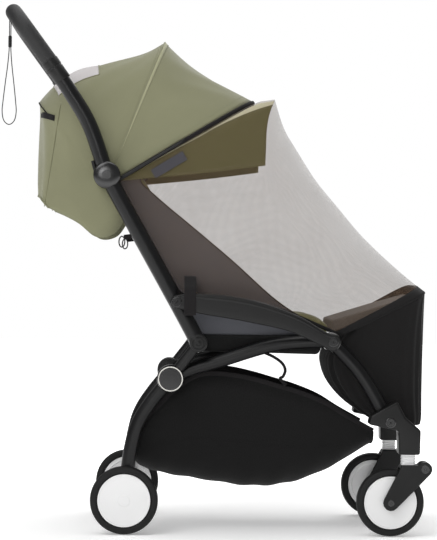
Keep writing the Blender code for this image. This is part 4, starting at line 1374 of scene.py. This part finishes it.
    def build_armrest(self, tag: str, side: float) -> None:
        """The bowed blade: a rounded section between its top and bottom edges, with a raised upper bead."""
        top = spline(
            [
                (-0.0960, 0.4650),
                (-0.0880, 0.4766),
                (-0.0700, 0.4812),
                (-0.0414, 0.4830),
                (0.0326, 0.4775),
                (0.0934, 0.4648),
                (0.1628, 0.4399),
                (0.2151, 0.4103),
                (0.2400, 0.4040),
                (0.2480, 0.3900),
            ],
            12,
        )
        under = spline(
            [
                (-0.0960, 0.4646),
                (-0.0900, 0.4545),
                (-0.0720, 0.4505),
                (-0.0388, 0.4430),
                (0.0500, 0.4290),
                (0.1312, 0.4130),
                (0.1700, 0.3990),
                (0.2120, 0.3800),
                (0.2330, 0.3712),
                (0.2480, 0.3896),
            ],
            12,
        )
        top, under = even(top, 110), even(under, 110)
        tall = np.linalg.norm(top - under, axis=1)
        direction = unit(top - under)
        centre_y, half_y = 0.2140, 0.0049
        share = np.array(
            [-1.0, -0.97, -0.9, -0.8, -0.3, 0.2, 0.45, 0.52, 0.56, 0.62, 0.70, 0.76, 0.84, 0.93, 0.98, 1.0]
        )
        outer = np.array(
            [0.0, 0.45, 0.72, 0.80, 0.84, 0.84, 0.80, 0.78, 0.92, 1.0, 0.92, 0.80, 0.96, 0.80, 0.45, 0.0]
        )
        share_all = np.concatenate([share, share[-2:0:-1]])
        out_all = np.concatenate([outer, -np.minimum(outer[-2:0:-1] * 1.15, 0.95)])
        mid = (top + under) / 2
        flat = mid[:, None] + share_all[None, :, None] * (tall / 2)[:, None, None] * direction[:, None]
        taper = np.clip(tall / 0.012, 0.02, 1.0)[:, None]
        y = side * (centre_y + half_y * out_all[None] * taper)
        grid = np.stack([flat[..., 0], y, flat[..., 1]], -1)
        blade = skin(f"armrest_blade_{tag}", grid, closed_across=True, capped=True)
        settle(crisp(blade, 55), self.palette.plastic, [f"armrest_{tag}"])
        screw = np.array(
            [
                (0, 0.2130),
                (0.0108, 0.2130),
                (0.0108, 0.2186),
                (0.0102, 0.2192),
                (0.0086, 0.2193),
                (0.0080, 0.2183),
                (0.0042, 0.2183),
                (0.0038, 0.2190),
                (0.0020, 0.2190),
                (0.0016, 0.2180),
                (0, 0.2180),
            ]
        )
        settle(
            turned(f"armrest_screw_{tag}", ARM_PIVOT, screw, side, 40),
            self.palette.gloss,
            [f"arm_pivot_{tag}"],
        )
        front = screw * (0.92, 1.0)
        settle(
            turned(f"armrest_front_screw_{tag}", (0.2315, 0.3892), front, side, 40),
            self.palette.gloss,
        )


@dataclass
class Wheels:
    """Four wheels: rounded foam tyres on dished white discs, the forks, buffers and caster housings."""

    palette: Palette
    radius: float = 0.0680
    disc: float = 0.0525

    def build(self) -> None:
        """Makes the wheels of both rows and the casters."""
        rows = {"rear": (REAR_AXLE, 0.1812, 0.2084), "front": (FRONT_AXLE, 0.1660, 0.1932)}
        for tag, side in SIDES.items():
            for row, (centre, inner, outer) in rows.items():
                self.build_wheel(f"{row}_{tag}", centre, inner, outer, side)
            self.build_caster(tag, side)
            self.build_rear_hub(tag, side)

    def build_wheel(self, tag: str, centre: Sequence[float], inner: float, outer: float, side: float) -> None:
        """A tyre, whose wall is a superellipse with two fine grooves, and its disc with a rim step."""
        mid, half = (inner + outer) / 2, (outer - inner) / 2
        deep = (self.radius - self.disc) / 2
        turn = np.linspace(0, 2 * math.pi, 49)[:-1]
        across = np.sign(np.cos(turn)) * np.abs(np.cos(turn)) ** (2 / 3.0)
        out = np.sign(np.sin(turn)) * np.abs(np.sin(turn)) ** (2 / 3.0)
        groove = 0.0005 * np.exp(-(((np.abs(across) - 0.45) / 0.08) ** 2)) * (out > 0.5)
        wall = 0.0006 * np.exp(-(((out - 0.30) / 0.10) ** 2)) * (np.abs(across) > 0.9)
        radius = self.disc + deep + deep * out - groove
        y = mid + (half - wall) * across
        angle = np.arange(120) * 2 * math.pi / 120 - math.pi / 2
        x = centre[0] + radius[:, None] * np.cos(angle)
        z = centre[1] + radius[:, None] * np.sin(angle)
        grid = np.stack([x, np.broadcast_to(side * y[:, None], x.shape), z], -1)
        tyre = skin(f"wheel_tyre_{tag}", grid, closed_across=True, closed_along=True)
        settle(crisp(tyre, 50), self.palette.foam, [f"tyre_{tag}"])
        face = outer - 0.0010
        profile = np.array(
            [
                (0, inner + 0.0020),
                (0.0140, inner + 0.0020),
                (0.0150, inner + 0.0060),
                (0.0440, inner + 0.0060),
                (0.0455, inner + 0.0025),
                (0.0527, inner + 0.0025),
                (0.0527, face - 0.0004),
                (0.0522, face),
                (0.0500, face),
                (0.0494, face - 0.0010),
                (0.0480, face - 0.0012),
                (0.0120, face - 0.0002),
                (0.0114, face + 0.0006),
                (0.0100, face + 0.0008),
                (0, face + 0.0008),
            ]
        )
        disc = turned(f"wheel_disc_{tag}", centre, profile, side, 96)
        settle(disc, self.palette.disc, [f"disc_{tag}"])

    def build_rear_hub(self, tag: str, side: float) -> None:
        """The collar at the foot of the rear leg, through which the axle runs to the wheel."""
        profile = np.array(
            [
                (0, 0.1500),
                (0.0150, 0.1500),
                (0.0165, 0.1515),
                (0.0165, 0.1780),
                (0.0150, 0.1800),
                (0.0090, 0.1805),
                (0.0090, 0.1835),
                (0, 0.1835),
            ]
        )
        settle(
            turned(f"rear_axle_collar_{tag}", REAR_AXLE, profile, side, 48),
            self.palette.plastic,
        )

    def build_caster(self, tag: str, side: float) -> None:
        """The fork, the buffer and the housing, with a screw on the housing and pins on the fork."""
        fork = soft_copy(f"fork_blade_{tag}", f"fork_{tag}", 0.0016)
        settle(fork, self.palette.plastic, [f"fork_{tag}"])
        housing = soft_copy(f"caster_body_{tag}", f"caster_housing_{tag}", 0.0022, angle=18)
        settle(housing, self.palette.plastic, [f"caster_housing_{tag}"])
        self.build_buffer(tag, side)
        outer = 0.2010
        screw = np.array(
            [
                (0, outer - 0.0040),
                (0.0105, outer - 0.0040),
                (0.0105, outer + 0.0006),
                (0.0096, outer + 0.0012),
                (0.0080, outer + 0.0012),
                (0.0074, outer + 0.0002),
                (0.0040, outer + 0.0002),
                (0.0036, outer + 0.0010),
                (0.0016, outer + 0.0010),
                (0.0012, outer),
                (0, outer),
            ]
        )
        settle(
            turned(f"caster_screw_{tag}", (0.3500, 0.2290), screw, side, 40),
            self.palette.gloss,
        )
        pin = np.array(
            [
                (0, 0.2000),
                (0.0085, 0.2000),
                (0.0085, 0.2032),
                (0.0078, 0.2038),
                (0.0030, 0.2038),
                (0.0026, 0.2032),
                (0, 0.2032),
            ]
        )
        settle(
            turned(f"fork_top_pin_{tag}", (0.4205, 0.1367), pin, side, 32),
            self.palette.gloss,
        )
        axle = pin * (0.8, 1.0)
        settle(
            turned(f"fork_axle_pin_{tag}", FRONT_AXLE, axle, side, 32), self.palette.gloss
        )


    def build_buffer(self, tag: str, side: float) -> None:
        """The white buffer: a rounded block whose size follows a cosine, so that it has slanted ridges."""
        low, high = 0.1444, 0.1646
        share = np.linspace(0, 1, 61)
        path = np.column_stack([np.full(61, 0.38775), np.full(61, side * 0.1785), low + (high - low) * share])
        fade = np.sin(math.pi * share) ** 0.5
        size = 1 - 0.09 * fade * (1 - np.cos(2 * math.pi * 4 * share)) / 2
        section = rounded(0.0142, 0.0144, 5.0, 32)[None] * size[:, None, None]
        grid = carried(path, section, ACROSS)
        slant = 0.16 * (grid[..., 0] - 0.38775) * np.sin(math.pi * share)[:, None]
        grid[..., 2] += slant
        block = skin(f"caster_spring_block_{tag}", grid, closed_across=True, capped=True)
        settle(crisp(block, 60), self.palette.disc, [f"caster_buffer_{tag}"])


BASKET_RIBS = np.array(
    [
        (-0.1640, 0.1600, 0.1380, 0.1400),
        (-0.1520, 0.2000, 0.1240, 0.1480),
        (-0.1250, 0.2420, 0.1130, 0.1529),
        (-0.0800, 0.2890, 0.1020, 0.1529),
        (-0.0300, 0.3180, 0.0930, 0.1520),
        (0.0300, 0.3180, 0.0850, 0.1500),
        (0.0830, 0.3080, 0.0825, 0.1480),
        (0.1300, 0.2950, 0.0850, 0.1470),
        (0.1750, 0.2820, 0.0930, 0.1460),
        (0.2250, 0.2620, 0.1140, 0.1460),
        (0.2700, 0.2350, 0.1420, 0.1460),
        (0.3200, 0.2080, 0.1780, 0.1440),
    ]
)


@dataclass
class Basket:
    """The sling under the seat, a sagging shell with bound edges and seams."""

    palette: Palette
    columns: int = 96
    power: float = 3.4

    def grid(self) -> np.ndarray:
        """The shell: each rib is the lower half of a superellipse, pushed in by long soft wrinkles."""
        table = spline(BASKET_RIBS, 8)
        x, top, bottom, half = (c[:, None] for c in table.T)
        turn = np.linspace(0, math.pi, self.columns)[None]
        drop = np.abs(np.sin(turn)) ** (2 / self.power)
        across = np.sign(np.cos(turn)) * np.abs(np.cos(turn)) ** (2 / self.power)
        along = np.linspace(0, 1, len(table))[:, None]
        fade = np.sin(turn) ** 0.5 * np.sin(math.pi * along) ** 0.4
        wrinkle = 0.0016 * np.sin(2 * math.pi * (2.5 * along + 1.5 * turn / math.pi)) * fade
        wrinkle = wrinkle + 0.0011 * np.sin(2 * math.pi * (9 * along - 2.2 * turn / math.pi)) * fade
        inward = np.abs(wrinkle - wrinkle.max()) * fade
        y = (half - inward) * across
        z = top - (top - bottom - inward) * drop
        return np.stack([x + 0 * y, y, z], -1)

    def build(self) -> None:
        """Makes the shell, the binding of its edges, and the seams of its side panels."""
        grid = self.grid()
        shell = skin("basket_shell", grid, facing=Facing.OUT)
        settle(thicken(shell, 0.0014), self.palette.sling, ["basket"])
        for tag, column, side in (("right", -1, -1.0), ("left", 0, 1.0)):
            line = grid[:, column]
            line = even(line, 120) + (0, -side * 0.0010, 0)
            tape = carried(line, rounded(0.0055, 0.0011, 3.0, 12))
            settle(
                skin(f"basket_binding_{tag}", tape, closed_across=True, capped=True),
                self.palette.webbing,
            )
            low = grid[:, 12 if tag == "left" else -13]
            normal = outward(grid)[:, 12 if tag == "left" else -13]
            row = stitches(f"basket_stitch_{tag}", low + 0.0002 * normal, normal, 0.0040, 0.0004)
            settle(row, self.palette.black_thread)
        for name, row in (("rear", 0), ("front", -1)):
            edge = grid[row]
            settle(
                seam(f"basket_edge_{name}", edge, 0.0016, np.array((1.0, 0, 0))),
                self.palette.webbing,
            )


@dataclass
class Seat:
    """The seat's sling, cushions, side panels and raised leg rest, seen through the net."""

    palette: Palette
    panel_y: float = 0.1483
    cushion_cap: float = 0.008
    back_cloth_half: float = 0.1460
    back_cloth_bow: float = 0.0030
    back_cloth_path: tuple[tuple[float, float], ...] = (
        (-0.0380, 0.4000),
        (-0.0390, 0.4262),
        (-0.1210, 0.5700),
        (-0.2010, 0.7116),
    )
    back_edge: tuple[tuple[float, float], ...] = (
        (-0.0300, 0.4000),
        (-0.0700, 0.4600),
        (-0.1400, 0.5780),
        (-0.2060, 0.6900),
        (-0.2080, 0.7020),
        (-0.1780, 0.7240),
    )
    front_edge: tuple[tuple[float, float], ...] = (
        (0.2000, 0.4000),
        (0.2050, 0.4180),
        (0.1519, 0.4480),
        (0.1051, 0.4818),
        (0.0348, 0.5444),
        (-0.0354, 0.6025),
        (-0.1058, 0.6594),
        (-0.1490, 0.6965),
        (-0.1570, 0.7050),
        (-0.1570, 0.7130),
        (-0.1440, 0.7270),
        (-0.1500, 0.7360),
    )

    def build(self) -> None:
        """Makes the seat."""
        sling = soft_copy("seat_sling", "seat_base", 0.0060, 4)
        settle(sling, self.palette.block, ["seat_base"])
        leg = soft_copy("leg_rest_pad", "leg_rest", 0.0080, 4)
        settle(leg, self.palette.leg, ["leg_rest"])
        for name, node in (("seat_cushion", "seat_pad"), ("back_cushion", "back_pad")):
            cushion = self.cushion(name, node)
            settle(cushion, self.palette.pad, [node])
        self.build_back()
        for tag, side in SIDES.items():
            self.build_panel(tag, side)

    def build_back(self) -> None:
        """The dark cloth behind the back cushion: up from the seat, then along the cushion's slope.

        It is bowed outward by a half sine across times a half sine along.
        """
        path = even(np.array(self.back_cloth_path), 60)
        y = np.linspace(-self.back_cloth_half, self.back_cloth_half, 41)[None]
        along = np.linspace(0, 1, 60)[:, None]
        bow = self.back_cloth_bow * np.cos(math.pi * y / (2 * self.back_cloth_half)) * np.sin(math.pi * along)
        x = path[:, :1] - 0.870 * bow
        z = path[:, 1:] - 0.493 * bow
        back = skin("back_sling", np.stack([x, y + 0 * x, z], -1))
        settle(thicken(back, 0.0010, 0.0), self.palette.panel_dark)

    def cushion(self, name: str, node: str) -> bpy.types.Object:
        """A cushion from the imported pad: remeshed, and moved by cloth pressure up to a cap.

        Pressure alone would move nearly all its points farther, so the cap and the pad's box set its form.

        Args:
            name: the piece's name.
            node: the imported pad.

        Returns:
            The cushion, with the capped movement applied.
        """
        obj = soft_copy(name, node, 0.004, 2)
        bpy.context.view_layer.update()
        graph = bpy.context.evaluated_depsgraph_get()
        rounded_mesh = bpy.data.meshes.new_from_object(obj.evaluated_get(graph))
        obj.modifiers.clear()
        low, high = (np.array(v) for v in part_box(node))
        points = np.empty(len(rounded_mesh.vertices) * 3, np.float32)
        rounded_mesh.vertices.foreach_get("co", points)
        points = points.reshape(-1, 3)
        middle = (low + high) / 2
        shrink = 1 - 2 * 0.0045 / (high - low)
        points = middle + (points - middle) * shrink
        rounded_mesh.vertices.foreach_set("co", points.astype(np.float32).ravel())
        obj.data = rounded_mesh
        remesh = obj.modifiers.new("Even faces", "REMESH")
        remesh.mode = "VOXEL"
        remesh.voxel_size = 0.006
        cloth = obj.modifiers.new("Swell", "CLOTH")
        cloth.settings.use_pressure = True
        cloth.settings.uniform_pressure_force = 4.0
        cloth.settings.effector_weights.gravity = 0.0
        cloth.point_cache.frame_start = 1
        cloth.point_cache.frame_end = 20
        scene = bpy.context.scene
        start = None
        for number in range(1, 21):
            scene.frame_set(number)
            if start is None:
                start = self.evaluated_points(obj)
        end = self.evaluated_points(obj)
        graph = bpy.context.evaluated_depsgraph_get()
        swollen = bpy.data.meshes.new_from_object(obj.evaluated_get(graph))
        scene.frame_set(1)
        obj.modifiers.clear()
        if len(start) == len(end):
            moved = end - start
            length = np.linalg.norm(moved, axis=1, keepdims=True)
            end = start + moved * np.minimum(1, self.cushion_cap / np.maximum(length, 1e-9))
        end = np.clip(end, low + 0.0003, high - 0.0003)
        swollen.vertices.foreach_set("co", end.astype(np.float32).ravel())
        obj.data = swollen
        obj.data.name = name
        finer = obj.modifiers.new("Finer", "SUBSURF")
        finer.levels = finer.render_levels = 1
        obj.data.shade_smooth()
        return obj

    @staticmethod
    def evaluated_points(obj: bpy.types.Object) -> np.ndarray:
        """The points of an object with its modifiers, at the scene's frame."""
        mesh = obj.evaluated_get(bpy.context.evaluated_depsgraph_get()).data
        points = np.empty(len(mesh.vertices) * 3, np.float32)
        mesh.vertices.foreach_get("co", points)
        return points.reshape(-1, 3).astype(float)

    def build_panel(self, tag: str, side: float) -> None:
        """A side panel: straight lines from its back edge to its front one, bowed by a half sine."""
        back = even(np.array(self.back_edge), 70)
        front = even(spline(self.front_edge, 4), 70)
        share = np.linspace(0, 1, 40)[None, :, None]
        flat = back[:, None] * (1 - share) + front[:, None] * share
        along = np.linspace(0, 1, 70)[:, None]
        bow = 0.0012 * np.sin(math.pi * share[..., 0]) * np.sin(math.pi * along)
        y = side * (self.panel_y + bow - 0.0010)
        grid = np.stack([flat[..., 0], y, flat[..., 1]], -1)
        panel = skin(f"side_cloth_{tag}", grid)
        settle(thicken(panel, 0.0012, 0.0), self.palette.panel, [f"side_panel_{tag}"])
        bead = seam(f"side_cloth_binding_{tag}", grid[:, -1], 0.0014, ACROSS)
        settle(bead, self.palette.black_thread)


@dataclass
class Straps:
    """The net's two fastening straps, its bare label, and the strap tail under the seat."""

    palette: Palette
    middle_x: float = -0.0550
    half: float = 0.0120
    thick: float = 0.0014

    def build(self) -> None:
        """Makes the straps, the label and the tail."""
        for tag, side in SIDES.items():
            knots = np.array(
                [
                    (0.1630, 0.5153),
                    (0.1752, 0.5150),
                    (0.2000, 0.5035),
                    (0.2180, 0.4930),
                    (0.2201, 0.4850),
                    (0.2201, 0.4640),
                    (0.2201, 0.4420),
                    (0.2150, 0.4403),
                    (0.2085, 0.4420),
                    (0.2080, 0.4600),
                    (0.2080, 0.4790),
                ]
            )
            flat = spline(knots, 6)
            path = np.column_stack([np.full(len(flat), self.middle_x), side * flat[:, 0], flat[:, 1]])
            grid = carried(path, rounded(self.thick / 2, self.half, 8.0, 20), np.array((1.0, 0, 0)))
            strap = skin(f"net_strap_{tag}", grid, closed_across=True, capped=True)
            settle(crisp(strap), self.palette.webbing, [f"strap_{tag}"])
        label = soft_copy("net_label", "label", 0.0003, 2)
        settle(label, self.palette.label, ["label"])
        self.build_tail()

    def build_tail(self) -> None:
        """The loose strap end under the right-hand rail: a thin flat band that hangs and turns back."""
        knots = [
            (0.0980, 0.3640),
            (0.1160, 0.3560),
            (0.1330, 0.3440),
            (0.1400, 0.3300),
            (0.1360, 0.3170),
            (0.1300, 0.3130),
            (0.1350, 0.3060),
            (0.1420, 0.2990),
        ]
        path = side_path(knots, -0.1500, 8)
        grid = carried(path, rounded(0.0030, 0.0011, 3.0, 14))
        settle(
            skin("seat_strap_tail", grid, closed_across=True, capped=True), self.palette.webbing
        )


@dataclass
class WristCord:
    """The thin cord loop that hangs from the grip, with its sliding stop."""

    palette: Palette
    x: float = -0.4259
    y: float = -0.1250
    radius: float = 0.0010
    lowest: float = 0.8190
    strands: tuple[tuple[float, float], ...] = (
        (1.0297, 0.0014),
        (0.9920, 0.0014),
        (0.9700, 0.0018),
        (0.9400, 0.0042),
        (0.9000, 0.0090),
        (0.8650, 0.0128),
        (0.8450, 0.0142),
        (0.8270, 0.0105),
    )

    def build(self) -> None:
        """Makes the cord as one open spline, and the stop on both of its strands."""
        down = [(self.x - gap, self.y, z) for z, gap in self.strands]
        up = [(self.x + gap, self.y, z) for z, gap in reversed(self.strands)]
        path = spline([*down, (self.x, self.y, self.lowest), *up], 5)
        curve = bpy.data.curves.new("wrist_loop", "CURVE")
        curve.dimensions = "3D"
        curve.bevel_depth = self.radius
        curve.bevel_resolution = 3
        curve.use_fill_caps = True
        line = curve.splines.new("POLY")
        line.points.add(len(path) - 1)
        line.points.foreach_set("co", np.column_stack([path, np.ones(len(path))]).astype(np.float32).ravel())
        loop = bpy.data.objects.new("wrist_loop", curve)
        bpy.context.scene.collection.objects.link(loop)
        settle(loop, self.palette.cord, ["wrist_cord"])
        stops = np.array([0.9990, 0.9985, 0.9970, 0.9770, 0.9755, 0.9750])
        size = np.array([0.0015, 0.0030, 0.0036, 0.0036, 0.0030, 0.0015])
        rows = np.column_stack([np.full(6, self.x), np.full(6, self.y), stops])
        section = ring(1.0, 20, 0.8)[None] * size[:, None, None]
        stop = skin("wrist_loop_stop", carried(rows, section), closed_across=True, capped=True)
        settle(crisp(stop, 50), self.palette.plastic)


@dataclass
class Studio:
    """The pale floor, the soft lights and the camera at the photograph's angle."""

    camera_place: tuple[float, float, float] = (-0.1114, -4.35, 0.53)
    yaw: float = -1.55
    roll: float = 0.80
    lens: float = 138.67

    def build(self) -> None:
        """Makes the floor, lights and camera."""
        self.build_floor()
        self.light("key_softbox", (-1.6, -2.2, 3.0), (0.0, 0.0, 0.5), 2.2, 50.0)
        self.light("top_softbox", (0.2, 0.3, 3.4), (0.0, 0.0, 0.5), 3.0, 62.0)
        self.light("front_fill", (-0.8, -3.8, 1.3), (0.0, 0.0, 0.5), 0.9, 18.0)
        self.light("rim_softbox", (0.8, 2.6, 2.0), (0.0, 0.0, 0.6), 2.0, 26.0)
        self.build_world()
        self.build_camera()

    def build_floor(self) -> None:
        """A level sheet of pale studio floor, which glows as painted light: faintly near the stroller, and
        fully white from 1.5 m out.
        """
        x, y = np.meshgrid(np.linspace(-8, 8, 9), np.linspace(-5, 11, 9))
        floor = skin("studio_floor", np.stack([x, y, np.full_like(x, -0.0004)], -1))
        graph = Graph("studio_floor")
        cloud = graph.noise(Pattern.PLACE, 3.0, 3.0)
        graph.feed(
            graph.shader.inputs["Base Color"],
            graph.blend(cloud, linear((246, 246, 246)), linear((250, 250, 250))),
        )
        place = graph.node("ShaderNodeTexCoord").outputs["Object"]
        distance = graph.node("ShaderNodeVectorMath", operation="LENGTH")
        graph.feed(distance.inputs[0], place)
        # painted light: the floor's emission rises from 0.24 near the stroller to full white 1.5 m away
        painted_glow = graph.ramp(distance.outputs["Value"], 0.45, 1.5, 0.24, 1.0)
        graph.feed(graph.shader.inputs["Emission Strength"], painted_glow)
        graph.plain(Roughness=0.9, Specular_IOR_Level=0.1)
        graph.shader.inputs["Emission Color"].default_value = (1, 1, 1, 1)
        floor.data.materials.append(graph.material)

    def light(
        self, name: str, place: Sequence[float], aim: Sequence[float], size: float, power: float
    ) -> None:
        """A square softbox at a place, turned to an aim."""
        lamp = bpy.data.lights.new(name, "AREA")
        lamp.shape = "SQUARE"
        lamp.size = size
        lamp.energy = power
        obj = bpy.data.objects.new(name, lamp)
        bpy.context.scene.collection.objects.link(obj)
        away = type(obj.location)(place) - type(obj.location)(aim)
        obj.location = place
        obj.rotation_euler = away.to_track_quat("Z", "Y").to_euler()

    def build_world(self) -> None:
        """A white backdrop that lights the object softly: full white where it is seen, dimmer as a lamp."""
        world = bpy.data.worlds.new("studio_white")
        world.use_nodes = True
        tree = world.node_tree
        background = tree.nodes["Background"]
        background.inputs["Color"].default_value = (1, 1, 1, 1)
        path = tree.nodes.new("ShaderNodeLightPath")
        level = tree.nodes.new("ShaderNodeMapRange")
        level.inputs["To Min"].default_value = 0.29
        level.inputs["To Max"].default_value = 1.0
        tree.links.new(path.outputs["Is Camera Ray"], level.inputs["Value"])
        tree.links.new(level.outputs[0], background.inputs["Strength"])
        bpy.context.scene.world = world

    def build_camera(self) -> None:
        """The camera: level, turned a little to the stroller's front, and rolled by less than a degree."""
        data = bpy.data.cameras.new("photo_camera")
        data.lens = self.lens
        data.sensor_width = 36.0
        obj = bpy.data.objects.new("photo_camera", data)
        bpy.context.scene.collection.objects.link(obj)
        turn = Matrix.Rotation(math.radians(self.yaw), 4, "Z") @ Matrix.Rotation(math.radians(90), 4, "X")
        obj.matrix_world = Matrix.Translation(self.camera_place) @ turn @ Matrix.Rotation(
            math.radians(self.roll), 4, "Z"
        )
        bpy.context.scene.camera = obj
        bpy.context.scene.view_settings.view_transform = "Standard"


def main() -> None:
    """Builds every sub-assembly in order, and then the studio."""
    logging.basicConfig(level=logging.INFO, format="%(name)s: %(message)s")
    palette = Palette()
    for part in (
        NetPanel(palette),
        Visor(palette),
        Hood(palette),
        FootCover(palette),
        PushBar(palette),
        SideFrame(palette),
        Wheels(palette),
        Basket(palette),
        Seat(palette),
        Straps(palette),
        WristCord(palette),
        Studio(),
    ):
        LOG.info("building %s", type(part).__name__)
        part.build()


if __name__ == "__main__":
    main()
